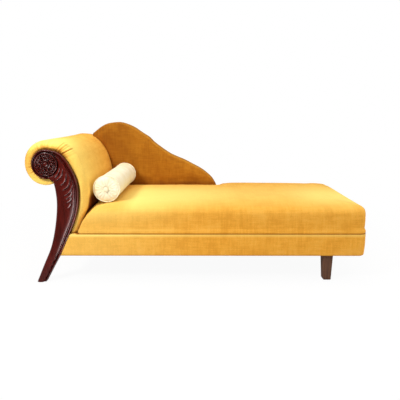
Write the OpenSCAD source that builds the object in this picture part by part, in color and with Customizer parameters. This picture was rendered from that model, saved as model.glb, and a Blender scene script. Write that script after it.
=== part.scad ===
// Fainting couch: a rolled head arm with a carved scroll leg, a humped half back,
// a tight seat on a boxed base, tapered legs and a loose bolster.
// +X runs to the foot end, -Y faces the sitter's side, +Z is up, origin on the floor.

/* [Overall] */
// Length from the roll to the foot end
couch_l = 1800; // [1700:5:1900]
// Depth from the carved rosette to the outside back
couch_d = 700; // [660:5:760]
// Height of the bottom of the boxed base above the floor
base_z = 141; // [120:1:170]
// Height of the boxed base
base_h = 117; // [100:1:140]
// Gap of the seam between base and seat
seam_gap = 4; // [2:0.5:6]
// Height of the seat's edge above the seam
seat_h = 144; // [110:1:160]
// Rise of the seat's crown above its edge
seat_crown = 12; // [4:1:20]

/* [Head arm] */
// Height of the top of the roll above the floor
arm_h = 747; // [720:1:780]
// Radius of the roll, over the fabric
roll_r = 115; // [105:1:120]
// From the roll's centre to the foot of the arm's inner side
arm_reach = 160; // [155:0.5:175]
// Set-back of the arm's front face from the rosette's front
arm_setback = 38; // [36:1:44]
// Rounding of the arm's padded front edge
arm_edge_r = 28; // [20:1:30]
// Foam on the arm
arm_foam_t = 25; // [20:1:28]
// Bent plywood skin over the arm's ribs
arm_ply_t = 4; // [3:0.5:6]
// Thickness of the arm's ribs
rib_t = 18; // [15:1:22]

/* [Scroll leg] */
// Height of the top of the carved roundel above the floor
scroll_h = 707; // [690:1:720]
// From the roundel's centre to the belly of the scroll leg
scroll_w = 165; // [155:1:170]
// Radius of the roundel
roundel_r = 77; // [70:1:80]
// How far the roundel's centre lies inward of the roll's centre
roundel_shift = 15; // [10:1:20]
// Thickness of the scroll leg's board
scroll_t = 29; // [24:1:32]
// Height of the carving on the scroll leg
relief = 3; // [1:0.5:4]
// Width of the raised rim along the scroll leg
rim_w = 9; // [6:1:12]
// Radius of the rosette
rosette_r = 60; // [50:1:64]
// Number of beads round the rosette
bead_count = 24; // [16:1:28]
// Number of petals in the rosette
petal_count = 12; // [8:1:14]
// Number of carved crescents below the rosette
crescent_count = 8; // [5:1:10]

/* [Back] */
// Height of the hump above the floor
back_h = 825; // [800:1:860]
// From the roll's centre to the hump's peak
back_peak = 260; // [250:1:290]
// From the hump's peak to the foot-side end of the back
back_run = 665; // [600:5:720]
// Thickness of the back over the fabric
back_t = 66; // [60:1:80]
// Rounding of the back's front edge
back_edge_r = 16; // [10:1:20]
// Thickness of the back's plywood board
back_board_t = 18; // [15:1:20]

/* [Seat and base] */
// Rounding of the seat's top edge
seat_edge_r = 32; // [24:1:36]
// Rounding of the seat's upright corners
seat_corner_r = 40; // [38:1:50]
// Rounding of the seat's upright corner beside the arm
seat_head_r = 16; // [12:1:30]
// Set-back of the seat's front from the rosette's front
seat_setback = 15; // [12:1:18]
// Thickness of the upholstery fabric
cover_t = 2.5; // [2:0.1:3]
// Foam on the foot end of the base
foot_foam_t = 18; // [14:1:20]
// Thickness of the frame rails
rail_t = 30; // [26:1:34]
// Thickness of the seat's plywood frame
seat_frame_t = 18; // [15:1:22]
// Width of the seat frame's members
seat_frame_w = 70; // [60:5:90]
// Width of the webbing straps
strap_w = 70; // [50:5:80]
// Number of webbing straps
strap_count = 11; // [9:1:13]

/* [Legs] */
// Side of a leg at its top
leg_top = 57; // [52:1:68]
// Side of a leg at its foot
leg_foot = 41; // [36:1:50]
// From the foot end to the centre of the foot-end legs
leg_inset = 195; // [150:1:210]
// From the head end of the base to the centre of the head leg
head_leg_inset = 62; // [50:1:80]
// Radius of a glide under a foot
glide_r = 11; // [9:0.5:13]
// Height of a glide
glide_h = 4; // [3:0.5:6]

/* [Bolster] */
// Radius of the bolster
bolster_r = 74; // [65:1:80]
// Length between the bolster's rims
bolster_l = 488; // [400:4:500]
// How far the bolster's gathered ends dome out
bolster_dome = 20; // [10:1:24]
// How far forward of the couch's middle the bolster lies
bolster_shift = 5; // [5:5:30]
// Gap between the bolster and the arm
bolster_gap = 11; // [0:1:20]
// How far the bolster's rear end turns away from the arm, in degrees
bolster_turn = 0.5; // [0:0.5:3]
// Number of gathers in each end
gather_count = 16; // [12:1:20]
// Depth of the gathers
gather_d = 4; // [2:0.5:5]
// Radius of the piping cord
piping_r = 3; // [2.5:0.25:4]

/* [Hidden] */
fabric = [0.90, 0.62, 0.20];
fabric_shade = [0.68, 0.42, 0.10];
show_wood = [0.22, 0.06, 0.04];
frame_wood = [0.80, 0.66, 0.46];
foam_white = [0.94, 0.92, 0.84];
cream = [0.96, 0.93, 0.82];
steel = [0.70, 0.70, 0.72];
lining = [0.16, 0.16, 0.17];
// Gap between a soft piece and what it lies on
clear = 0.3;
// Gap along a curve that meets another curve's flat facets
facet_clear = 1.2;
// Running clearance of a screw, dowel or spike in its hole
hole_clear = 0.05;
// How far a cut runs past the wood
over = 1;
// Width of the base cover's lip under the frame
lip_w = 7;
// Free edge round a leg in the dust cover
leg_gap = 1;
round_steps = 4;
corner_steps = 5;

// Levels and planes
x_head = -couch_l / 2;
x_foot = couch_l / 2;
y_front = -couch_d / 2;
y_back = couch_d / 2;
base_top = base_z + base_h;
seat_z = base_top + seam_gap;
seat_edge_z = seat_z + seat_h;
roll_x = x_head + roll_r;
roll_z = arm_h - roll_r;
arm_rise = arm_h - seat_z;
seat_y0 = y_front + seat_setback;
arm_y0 = y_front + arm_setback;
back_y0 = y_back - back_t;
peak_x = roll_x + back_peak;
back_x1 = peak_x + back_run;
back_rise = back_h - seat_z;
layer = cover_t + clear;
frame_y0 = arm_y0 + layer + clear;
frame_y1 = y_back - 2 * layer - clear;
rail_z0 = base_z + layer;
rail_z1 = base_top - 2 * clear;

// Curves: a spline through points, an arc, and lines moved inwards
function spline_at(a, b, c, d, t) =
    0.5 * (2 * b + (c - a) * t + (2 * a - 5 * b + 4 * c - d) * t * t + (3 * b - a - 3 * c + d) * t * t * t);
function spline(p, steps) = let (n = len(p)) concat(
    [for (i = [0:n - 2], k = [0:steps - 1])
        let (a = i > 0 ? p[i - 1] : 2 * p[0] - p[1], d = i < n - 2 ? p[i + 2] : 2 * p[n - 1] - p[n - 2])
        spline_at(a, p[i], p[i + 1], d, k / steps)],
    [p[n - 1]]);
function arc(c, r, a0, a1, steps) = [for (k = [0:steps])
    c + r * [cos(a0 + (a1 - a0) * k / steps), sin(a0 + (a1 - a0) * k / steps)]];
function unit(v) = v / norm(v);
function left_of(v) = [-v[1], v[0]];
function clamp_share(t) = min(1, max(0, t));
// Mitred normals to the left of an open line, level at its two ends
function normals(p) = let (n = len(p)) [for (i = [0:n - 1])
    i == 0 || i == n - 1 ?
        let (u = left_of(unit(i == 0 ? p[1] - p[0] : p[n - 1] - p[n - 2])), h = [sign(u[0]), 0]) h / (u * h)
        : let (a = left_of(unit(p[i] - p[i - 1])), b = left_of(unit(p[i + 1] - p[i])), m = unit(a + b))
            m / (m * a)];
// The first coordinate of a line where its second, rising, reaches v
function x_at(p, v, i = 0) = i >= len(p) - 2 || p[i + 1][1] >= v ?
    p[i][0] + (p[i + 1][0] - p[i][0]) * (v - p[i][1]) / (p[i + 1][1] - p[i][1]) : x_at(p, v, i + 1);
function flipped(p) = [for (i = [len(p) - 1:-1:0]) p[i]];
function swapped(p) = [for (q = p) [q[1], q[0]]];
function at_z(p, z) = [for (q = p) [q[0], q[1], z]];

// A closed skin over rings of equally many points, capped at both ends or joined to itself
module skin(rings, joined = false) {
    n = len(rings[0]);
    m = len(rings);
    walls = [for (j = [0:joined ? m - 1 : m - 2], i = [0:n - 1])
        let (a = j * n + i, b = j * n + (i + 1) % n,
            c = ((j + 1) % m) * n + (i + 1) % n, d = ((j + 1) % m) * n + i)
        each [[a, c, b], [a, d, c]]];
    caps = joined ? [] : [[for (i = [0:n - 1]) i], [for (i = [n - 1:-1:0]) (m - 1) * n + i]];
    polyhedron([for (r = rings, q = r) q], concat(walls, caps));
}
// An outline of the X-Z plane made solid from y0 to y1
module slab_y(y0, y1) {
    translate([0, y1, 0])
        rotate([90, 0, 0])
            linear_extrude(y1 - y0) children();
}
module rod_y(x, z, r, y0, y1) {
    translate([x, y1, z])
        rotate([90, 0, 0])
            cylinder(h = y1 - y0, r = r, $fn = 32);
}
module rod_z(x, y, r, z0, z1) {
    translate([x, y, z0])
        cylinder(h = z1 - z0, r = r, $fn = 32);
}
module block(x0, x1, y0, y1, z0, z1) {
    translate([x0, y0, z0])
        cube([x1 - x0, y1 - y0, z1 - z0]);
}

// The arm's outline, in shares of its reach and rise from the roll's centre and the seat's foot
arm_inner_shares = [[1, 0], [1.16, 0.153], [1.29, 0.262], [1.345, 0.388], [1.326, 0.5], [1.235, 0.64],
    [1.13, 0.735], [1.02, 0.81], [0.87, 0.88], [0.66, 0.945], [0.4, 0.987]];
arm_outer_shares = [[0.43, 0.482], [0.487, 0.4], [0.49, 0.28], [0.455, 0.13], [0.425, 0]];
roll_start = 90;
roll_end = 295;
roll_steps = 14;
span_steps = 3;
function arm_pt(s) = [roll_x + s[0] * arm_reach, seat_z + s[1] * arm_rise];
arm_inner = spline([for (s = arm_inner_shares) arm_pt(s)], span_steps);
arm_outer = spline([for (s = arm_outer_shares) arm_pt(s)], span_steps);
arm_path = concat(arm_inner, arc([roll_x, roll_z], roll_r, roll_start, roll_end, roll_steps), arm_outer);
arm_normals = normals(arm_path);
arm_n = len(arm_path);
arm_foot_in = arm_inner[0][0];
arm_foot_out = arm_outer[len(arm_outer) - 1][0];
arm_bulge = max([for (p = arm_inner) p[0]]);
// Foam is full on the inner side and the roll, and thin on the outer side
pad_outer_share = 0.25;
function pad_share(i) = let (a = len(arm_inner) + roll_steps * 0.4, b = len(arm_inner) + roll_steps)
    1 - (1 - pad_outer_share) * clamp_share((i - a) / (b - a));
// The cover's hem on the front is wide on the roll and narrow down the stem
hem_w = 34;
hem_stem_share = 0.4;
hem_low_share = 0.35;
hem_high_share = 0.55;
function hem_at(i) = let (s = (arm_path[i][1] - seat_z) / arm_rise)
    hem_w * (hem_stem_share + (1 - hem_stem_share)
        * clamp_share((s - hem_low_share) / (hem_high_share - hem_low_share)));
function arm_at(i, soft, hard) = arm_path[i] + arm_normals[i] * (hard + soft * pad_share(i));
core_in = layer + arm_ply_t + 3 * clear;
function arm_line(soft, hard) = [for (i = [0:arm_n - 1]) arm_at(i, soft, hard)];
foot_board_z1 = rail_z1 + rib_t;
module arm_core(y0, y1) {
    difference() {
        slab_y(y0, y1) polygon(arm_line(arm_foam_t, core_in));
        block(x_head, arm_bulge, y0 - over, y1 + over, rail_z0, foot_board_z1);
    }
}

// Planes of the bare frame
frame_x0 = arm_foot_out + layer + 2 * clear;
frame_x1 = x_foot - foot_foam_t - 2 * layer;
rail_h = rail_z1 - rail_z0;

// Rails of the base, screwed together at the corners
rail_screw_r = 3;
rail_screw_l = 90;
rail_screw_shares = [0.25, 0.75];
screw_head_r = 5.5;
screw_head_t = 3;
insert_r = 6;
insert_bore_r = 4.1;
insert_h = 20;
insert_room = 14;
leg_block_w = 40;
leg_block_l = 80;
leg_block_h = 44;
leg_y0 = frame_y0 + rail_t / 2;
leg_y1 = frame_y1 - rail_t - leg_block_w / 2;
leg_x1 = x_foot - leg_inset;
leg_x0 = arm_foot_out + head_leg_inset;
LEGS = [[leg_x1, leg_y0], [leg_x1, leg_y1], [leg_x0, leg_y1]];
RAIL_SCREWS = [for (x = [frame_x0 + rail_t / 2, frame_x1 - rail_t / 2], s = rail_screw_shares)
    [x, rail_z0 + s * rail_h]];

module rail_screw_set(extra) {
    front = frame_y0 + hole_clear - extra;
    rear = frame_y1 - hole_clear + extra;
    for (p = RAIL_SCREWS) {
        rod_y(p[0], p[1], rail_screw_r + extra, front, frame_y0 + rail_screw_l + extra);
        rod_y(p[0], p[1], screw_head_r + extra, front, frame_y0 + screw_head_t + extra);
        rod_y(p[0], p[1], rail_screw_r + extra, frame_y1 - rail_screw_l - extra, rear);
        rod_y(p[0], p[1], screw_head_r + extra, frame_y1 - screw_head_t - extra, rear);
    }
}
module rail_screws() {
    color(steel) rail_screw_set(0);
}
module long_rail(y0) {
    difference() {
        block(frame_x0, frame_x1, y0, y0 + rail_t, rail_z0, rail_z1);
        rail_screw_set(hole_clear);
        insert_bores();
        scroll_dowel_set(hole_clear);
        back_dowel_set(hole_clear);
    }
}
module insert_bores() {
    for (p = LEGS)
        rod_z(p[0], p[1], insert_r + hole_clear, rail_z0 - over, rail_z0 + insert_h + insert_room);
}
module front_rail() {
    color(frame_wood) long_rail(frame_y0);
}
module rear_rail() {
    color(frame_wood) long_rail(frame_y1 - rail_t);
}
module end_rail(x0) {
    difference() {
        block(x0, x0 + rail_t, frame_y0 + rail_t, frame_y1 - rail_t, rail_z0, rail_z1);
        rail_screw_set(hole_clear);
        board_screw_set(hole_clear);
    }
}
module head_end_rail() {
    color(frame_wood) end_rail(frame_x0);
}
module foot_end_rail() {
    color(frame_wood) end_rail(frame_x1 - rail_t);
}
cross_w = 90;
cross_t = 40;
cross_shares = [0.22, 0.5, 0.72];
module cross_rails() {
    color(frame_wood)
        for (s = cross_shares) {
            x = frame_x0 + s * (frame_x1 - frame_x0);
            block(x - cross_w / 2, x + cross_w / 2, frame_y0 + rail_t, frame_y1 - rail_t,
                rail_z0, rail_z0 + cross_t);
        }
}
module leg_blocks() {
    color(frame_wood)
        difference() {
            for (p = [LEGS[1], LEGS[2]])
                block(max(p[0] - leg_block_l / 2, frame_x0 + rail_t), p[0] + leg_block_l / 2,
                    p[1] - leg_block_w / 2, p[1] + leg_block_w / 2, rail_z0, rail_z0 + leg_block_h);
            insert_bores();
        }
}
block_w = 90;
block_t = 40;
module corner_block(x, y, dx, dy) {
    translate([x, y, rail_z1 - block_t])
        linear_extrude(block_t)
            polygon([[0, 0], [dx * block_w, 0], [0, dy * block_w]]);
}
module corner_blocks() {
    color(frame_wood) {
        corner_block(frame_x0 + rail_t, frame_y0 + rail_t, 1, 1);
        corner_block(frame_x0 + rail_t, frame_y1 - rail_t, 1, -1);
        corner_block(frame_x1 - rail_t, frame_y0 + rail_t, -1, 1);
        corner_block(frame_x1 - rail_t, frame_y1 - rail_t, -1, -1);
    }
}

// The scroll leg's outline, in shares of its height and belly from the roundel's centre and the floor
scroll_right_shares = [[-0.139, 0], [0.127, 0.117], [0.39, 0.232], [0.70, 0.389], [0.861, 0.48],
    [0.968, 0.583], [1, 0.676], [0.985, 0.735], [0.915, 0.797], [0.79, 0.869], [0.65, 0.924],
    [0.46, 0.97], [0.22, 0.995]];
scroll_left_shares = [[0.203, 0.762], [0.262, 0.69], [0.287, 0.583], [0.213, 0.427], [0.058, 0.27],
    [-0.192, 0.132], [-0.43, 0]];
scroll_start = 90;
scroll_end = 285;
roundel_x = roll_x + roundel_shift;
roundel_z = scroll_h - roundel_r;
// Below this share of its height the leg's curve follows the base, and above it the roundel
leg_low_share = 0.367;
function scroll_z(s) = s < leg_low_share ? glide_h + (seat_z - glide_h) * s / leg_low_share
    : seat_z + (scroll_h - seat_z) * (s - leg_low_share) / (1 - leg_low_share);
function scroll_pt(s) = [roundel_x + s[0] * scroll_w, scroll_z(s[1])];
scroll_right = spline([for (s = scroll_right_shares) scroll_pt(s)], span_steps);
scroll_left = spline([for (s = scroll_left_shares) scroll_pt(s)], span_steps);
scroll_y1 = arm_y0 - clear;
scroll_y0 = scroll_y1 - scroll_t;
scroll_foot_x = (scroll_pt(scroll_left_shares[6])[0] + scroll_pt(scroll_right_shares[0])[0]) / 2;
scroll_foot_y = (scroll_y0 + scroll_y1) / 2;

// Dowels that hold the scroll leg: one to the front rail, two to the arm's front rib
scroll_dowel_r = 5;
scroll_dowel_in = 20;
scroll_dowel_out = 14;
SCROLL_DOWELS = [[frame_x0 + rail_t * 0.35, rail_z0 + rail_h * 0.5],
    [roundel_x + 0.6 * scroll_w, seat_z + 0.42 * arm_rise], [roundel_x, roundel_z]];
module scroll_dowel_set(extra) {
    for (p = SCROLL_DOWELS)
        rod_y(p[0], p[1], scroll_dowel_r + extra, scroll_y1 - scroll_dowel_in - extra,
            frame_y0 + scroll_dowel_out + extra);
}
module scroll_dowels() {
    color(frame_wood) scroll_dowel_set(0);
}

// The carved scroll leg: a shaped board with a raised rim and a row of crescents that fade downwards
crescent_w = 7;
crescent_start = -68;
crescent_turn = 84;
crescent_steps = 8;
// Each row: the crescent's upper tip over the belly and the height, and its radius over the roundel's
crescent_shares = [[0.433, 0.869, 0.62], [0.512, 0.862, 0.7], [0.621, 0.826, 0.74], [0.736, 0.798, 0.84],
    [0.791, 0.741, 0.71], [0.767, 0.69, 0.52], [0.761, 0.647, 0.375], [0.724, 0.603, 0.28]];
function table_at(t, v) = let (i = min(floor(v), len(t) - 2)) t[i] + (t[i + 1] - t[i]) * (v - i);
module crescent(s) {
    r = s[2] * roundel_r;
    tip = crescent_start + crescent_turn;
    c = scroll_pt([s[0], s[1]]) - r * [cos(tip), sin(tip)];
    outer = arc(c, r, crescent_start, tip, crescent_steps);
    inner = [for (k = [crescent_steps - 1:-1:1]) let (a = crescent_start + crescent_turn * k / crescent_steps)
        c + (r - crescent_w * s[2] * sin(180 * k / crescent_steps)) * [cos(a), sin(a)]];
    polygon(concat(outer, inner));
}
rim_normals = normals(scroll_right);
rim_first = 4;
rim_line = [for (i = [rim_first:len(scroll_right) - 2]) scroll_right[i]];
rim_inner = [for (i = [rim_first:len(scroll_right) - 2]) scroll_right[i] + rim_normals[i] * rim_w];
module scroll_leg() {
    color(show_wood)
        difference() {
            union() {
                slab_y(scroll_y0, scroll_y1)
                    polygon(concat(scroll_right,
                        arc([roundel_x, roundel_z], roundel_r, scroll_start, scroll_end, roll_steps),
                        scroll_left));
                slab_y(scroll_y0 - relief, scroll_y0) polygon(concat(rim_line, flipped(rim_inner)));
                for (k = [0:crescent_count - 1])
                    slab_y(scroll_y0 - relief / 2, scroll_y0)
                        crescent(table_at(crescent_shares,
                            k * (len(crescent_shares) - 1) / (crescent_count - 1)));
            }
            scroll_dowel_set(hole_clear);
            rod_z(scroll_foot_x, scroll_foot_y, spike_r + hole_clear, 0, glide_h + spike_l + hole_clear);
        }
}

// The rosette: a turned disc with a ring of beads, a ring of petals and a boss
rosette_t = scroll_y0 - y_front;
rosette_shares = [[1, 0], [1, 0.5], [0.95, 0.6], [0.9, 0.4], [0.68, 0.4], [0.64, 0.65], [0.58, 0.65],
    [0.54, 0.35], [0.27, 0.35], [0.24, 0.75], [0.14, 0.97], [0, 1]];
bead_place_share = 0.79;
bead_size_share = 0.075;
petal_place_share = 0.4;
petal_size_share = 0.085;
module bead(place_share, size_share, turn) {
    rotate([0, 0, turn])
        translate([rosette_r * place_share, 0, rosette_t * 0.4])
            sphere(r = rosette_r * size_share, $fn = 20);
}
module rosette() {
    color(show_wood)
        translate([roundel_x, scroll_y0, roundel_z])
            rotate([90, 0, 0]) {
                difference() {
                    union() {
                        rotate_extrude($fn = 64)
                            polygon(concat([[0, 0]],
                                [for (s = rosette_shares) [s[0] * rosette_r, s[1] * rosette_t]]));
                        for (k = [0:bead_count - 1])
                            bead(bead_place_share, bead_size_share, 360 * k / bead_count);
                        for (k = [0:petal_count - 1])
                            bead(petal_place_share, petal_size_share, 360 * k / petal_count);
                    }
                    translate([0, 0, -rosette_r])
                        cylinder(h = rosette_r, r = rosette_r + over, $fn = 32);
                }
            }
}

// Foam, cover and lining of the base
module base_plan() {
    polygon(concat([[frame_x0, frame_y1], [frame_x0, seat_y0 + layer]],
        arc([x_foot - seat_corner_r, seat_y0 + seat_corner_r], seat_corner_r - layer, -90, 0, corner_steps),
        [[x_foot - layer, frame_y1]]));
}
module base_foam() {
    edge = [for (q = scroll_right) [q[0] + facet_clear, q[1]]];
    color(foam_white)
        difference() {
            translate([0, 0, rail_z0])
                linear_extrude(rail_h) base_plan();
            block(x_head, frame_x1 + clear, frame_y0 - clear, y_back, rail_z0 - over, rail_z1 + over);
            slab_y(y_front, y_back)
                polygon(concat([[x_head, 0]], [for (q = edge) if (q[1] < seat_edge_z) q],
                    [[x_head, seat_z]]));
        }
}
rear_r = 6;
base_path = concat(
    [[arm_foot_in, seat_y0]],
    arc([x_foot - seat_corner_r, seat_y0 + seat_corner_r], seat_corner_r, -90, 0, corner_steps),
    arc([x_foot - rear_r, y_back - rear_r], rear_r, 0, 90, corner_steps),
    arc([arm_foot_out + rear_r, y_back - rear_r], rear_r, 90, 180, corner_steps),
    [[arm_foot_out, arm_y0]]);
base_n = len(base_path);
// The strip's section: how far in and how high
base_section = [[0, base_z + 2 * cover_t], [0, base_top], [cover_t, base_top], [cover_t, base_z + cover_t],
    [lip_w, base_z + cover_t], [lip_w, base_z], [2 * cover_t, base_z], [cover_t / 2, base_z + cover_t / 2]];
function base_at(i, s) =
    i == 0 ? [x_at(scroll_right, s[1]) + facet_clear, seat_y0 + s[0], s[1]]
    : i == base_n - 1 ? [arm_foot_out + s[0], arm_y0, s[1]]
    : let (a = left_of(unit(base_path[i] - base_path[i - 1])),
        b = left_of(unit(base_path[i + 1] - base_path[i])), m = unit(a + b),
        q = base_path[i] + m * s[0] / (m * a))
        [q[0], q[1], s[1]];
module base_cover() {
    color(fabric) skin([for (i = [base_n - 1:-1:0]) [for (s = base_section) base_at(i, s)]]);
}
module dust_cover() {
    edge = lip_w + clear;
    leg_room = leg_top / 2 + leg_gap;
    lip_x = x_at(scroll_right, base_z) + 2 * facet_clear;
    color(lining)
        difference() {
            translate([0, 0, base_z + clear])
                linear_extrude(cover_t)
                    polygon(concat(
                        [[arm_foot_out + edge, arm_y0 + clear], [lip_x, arm_y0 + clear],
                            [lip_x, seat_y0 + edge]],
                        arc([x_foot - seat_corner_r, seat_y0 + seat_corner_r], seat_corner_r - edge,
                            -90, 0, corner_steps),
                        [[x_foot - edge, y_back - edge], [arm_foot_out + edge, y_back - edge]]));
            for (p = LEGS)
                block(p[0] - leg_room, p[0] + leg_room, p[1] - leg_room, p[1] + leg_room,
                    base_z, rail_z0 + over);
        }
}

// The seat: a plywood frame with webbing, a foam block, wadding and a boxed cover
back_gap = facet_clear;
seat_mid = [back_x1 + seat_corner_r, 0];
sharp_r = 3;
function corner(c, r, a0, a1, steps) = arc(c, max(r, sharp_r), a0, a1, steps);
function seat_plan(z, d) = let (
        x0 = x_at(arm_inner, z) + clear + d, x1 = x_foot - d, y0 = seat_y0 + d, y1 = y_back - d,
        xn = back_x1 + back_gap + d, yn = back_y0 - back_gap - d, r = max(seat_corner_r - d, sharp_r),
        rh = max(seat_head_r - d, sharp_r), rr = max(rear_r - d, sharp_r))
    concat(arc([x0 + rh, y0 + rh], rh, 180, 270, corner_steps),
        arc([x1 - r, y0 + r], r, 270, 360, corner_steps),
        arc([x1 - rr, y1 - rr], rr, 0, 90, corner_steps),
        arc([xn + sharp_r, y1 - sharp_r], sharp_r, 90, 180, 2),
        [[xn, yn]],
        arc([x0 + sharp_r, yn - sharp_r], sharp_r, 90, 180, 2));
function seat_ring(z, d) = at_z(seat_plan(z, d), z);
seat_frame_z1 = rail_z1 + seat_frame_t;
seat_levels = [for (q = arm_inner)
    if (q[1] > seat_frame_z1 + cover_t && q[1] < seat_edge_z - seat_edge_r) q[1]];
crown_shares = [0.96, 0.88, 0.7, 0.4, 0.1];
function seat_side(d) = [for (z = concat(seat_levels, [seat_edge_z - seat_edge_r])) seat_ring(z, d)];
function seat_round(d) = [for (k = [1:round_steps])
    let (a = 90 * k / round_steps, r = seat_edge_r - d)
    seat_ring(seat_edge_z - seat_edge_r + r * sin(a), d + r * (1 - cos(a)))];
function seat_top(d) = let (p = seat_plan(seat_edge_z - d, seat_edge_r)) [for (k = crown_shares)
    at_z([for (q = p) seat_mid + k * (q - seat_mid)], seat_edge_z - d + seat_crown * (1 - k * k))];
function seat_shell(z0, d) = concat([seat_ring(z0, d)], seat_side(d), seat_round(d), seat_top(d));
module seat_cover() {
    color(fabric) skin(concat(flipped(seat_shell(seat_z, cover_t)), seat_shell(seat_z, 0)));
}
webbing_t = 2;
foam_z0 = seat_frame_z1 + webbing_t + clear;
wadding_z0 = seat_edge_z - seat_edge_r + clear;
module seat_wadding() {
    color(foam_white)
        skin(concat([seat_ring(wadding_z0, layer)], seat_round(layer), seat_top(layer)));
}
module seat_foam() {
    color(foam_white)
        skin(concat([seat_ring(foam_z0, layer)], [for (z = seat_levels) seat_ring(z, layer)],
            [seat_ring(wadding_z0 - clear, layer)]));
}
strap_x0 = arm_foot_in + seat_corner_r;
strap_x1 = x_foot - seat_corner_r;
strap_pitch = (strap_x1 - strap_x0) / strap_count;
module seat_frame() {
    color(frame_wood)
        difference() {
            translate([0, 0, rail_z1])
                linear_extrude(seat_frame_t) polygon(seat_plan(seat_frame_z1, layer));
            block(arm_foot_in + seat_frame_w, x_foot - seat_frame_w, seat_y0 + seat_frame_w,
                back_y0 - back_gap - seat_frame_w, rail_z1 - over, seat_frame_z1 + over);
        }
}
module seat_webbing() {
    color(lining)
        for (k = [0:strap_count - 1]) {
            x = strap_x0 + (k + 0.5) * strap_pitch;
            block(x - strap_w / 2, x + strap_w / 2, seat_y0 + seat_corner_r / 2,
                back_y0 - seat_corner_r / 2, seat_frame_z1, seat_frame_z1 + webbing_t);
        }
}

// The arm: three ribs on a foot board, a bent plywood skin, foam and a cover
module arm_front_rib() {
    color(frame_wood)
        difference() {
            arm_core(frame_y0, frame_y0 + rib_t);
            scroll_dowel_set(hole_clear);
        }
}
module arm_middle_rib() {
    mid = (frame_y0 + frame_y1) / 2;
    color(frame_wood) arm_core(mid - rib_t / 2, mid + rib_t / 2);
}
module arm_rear_rib() {
    color(frame_wood) arm_core(frame_y1 - rib_t, frame_y1);
}
foot_line = arm_line(arm_foam_t, core_in);
foot_board_x0 = x_at(flipped(foot_line), foot_board_z1);
foot_board_x1 = foot_line[0][0];
board_screw_r = 2.5;
board_screw_l = 60;
BOARD_SCREWS = [for (s = [0.15, 0.4, 0.6, 0.85])
    [frame_x0 + rail_t * 0.7, frame_y0 + s * (frame_y1 - frame_y0)]];
module board_screw_set(extra) {
    for (p = BOARD_SCREWS) {
        rod_z(p[0], p[1], board_screw_r + extra, foot_board_z1 - board_screw_l - extra,
            foot_board_z1 - hole_clear + extra);
        rod_z(p[0], p[1], 2 * board_screw_r + extra, foot_board_z1 - board_screw_r - extra,
            foot_board_z1 - hole_clear + extra);
    }
}
module arm_board_screws() {
    color(steel) board_screw_set(0);
}
module arm_foot_board() {
    color(frame_wood)
        difference() {
            block(foot_board_x0, foot_board_x1, frame_y0, frame_y1, rail_z1, foot_board_z1);
            board_screw_set(hole_clear);
        }
}
// A strip of the arm's outline between two depths: soft and hard insets of its outer and inner face
module arm_strip(soft0, hard0, soft1, hard1, y0, y1) {
    skin([for (i = [arm_n - 1:-1:0]) let (a = arm_at(i, soft0, hard0), b = arm_at(i, soft1, hard1))
        [[a[0], y0, a[1]], [a[0], y1, a[1]], [b[0], y1, b[1]], [b[0], y0, b[1]]]]);
}
module arm_ply_skin() {
    color(frame_wood)
        arm_strip(arm_foam_t, layer + clear, arm_foam_t, layer + clear + arm_ply_t, frame_y0, frame_y1);
}
edge_r = min(arm_edge_r, arm_foam_t + layer);
function arm_section(i, s) = let (q = arm_path[i] + arm_normals[i] * s[0]) [q[0], s[1], q[1]];
function edge_arc(r_out, d, r, turn) = [for (k = [0:turn]) let (a = 90 * k / turn)
    [d + r * (1 - cos(a)), arm_y0 + r_out - r * sin(a)]];
module arm_foam() {
    color(foam_white)
        skin([for (i = [arm_n - 1:-1:0])
            let (r = edge_r * pad_share(i), back_in = layer + arm_foam_t * pad_share(i))
            [for (s = concat([[layer, frame_y1]], edge_arc(r, layer, r - layer, round_steps),
                    [[back_in, frame_y1]]))
                arm_section(i, s)]]);
}
arm_cover_y1 = y_back - layer;
module arm_cover() {
    color(fabric)
        skin([for (i = [arm_n - 1:-1:0]) let (r = edge_r * pad_share(i), hem = r + hem_at(i))
            [for (s = concat([[0, arm_cover_y1]], edge_arc(r, 0, r, round_steps),
                    [[hem, arm_y0], [hem, arm_y0 + cover_t]],
                    flipped(edge_arc(r, cover_t, r - cover_t, round_steps)), [[cover_t, arm_cover_y1]]))
                arm_section(i, s)]]);
}
module arm_rear_panel() {
    color(fabric) slab_y(y_back - cover_t, y_back) polygon(arm_path);
}

// The back: a shaped board with foam, an inside cover over its top, an outside cover and piping
hump_left_shares = [[0.272, 0.848], [0.402, 0.899], [0.543, 0.949], [0.683, 0.982], [0.831, 0.996], [1, 1]];
hump_right_shares = [[0.062, 0.984], [0.148, 0.94], [0.232, 0.868], [0.302, 0.808], [0.365, 0.73],
    [0.515, 0.608], [0.665, 0.534], [0.756, 0.483], [0.847, 0.423], [0.939, 0.332], [0.985, 0.25], [1, 0.2]];
hump = spline(concat(
    [for (s = hump_left_shares) [roll_x + s[0] * back_peak, seat_z + s[1] * back_rise]],
    [for (s = hump_right_shares) [peak_x + s[0] * back_run, seat_z + s[1] * back_rise]]), 2);
hump_lift = swapped(hump);
arm_side = [for (i = [0:len(arm_inner) - 1]) arm_path[i] - arm_normals[i] * facet_clear];
side_bulge = max([for (q = arm_side) q[0]]);
side_turn = [for (q = arm_side) if (q[0] == side_bulge) q[1]][0];
arm_over = [for (q = flipped(arm_side)) if (q[1] >= side_turn) [q[1], q[0]]];
function top_z(x) = x_at(hump_lift, x);
back_x0 = side_bulge + facet_clear;
BACK_X = concat([for (q = arm_over) if (top_z(q[1]) - q[0] > back_edge_r) q[1]], [back_x0],
    [for (q = hump) if (q[0] > back_x0 + facet_clear) q[0]]);
function foot_of(x) = x < back_x0 ? x_at(arm_over, x) : seat_z;
back_cover_y1 = y_back - 2 * piping_r - clear;
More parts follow.
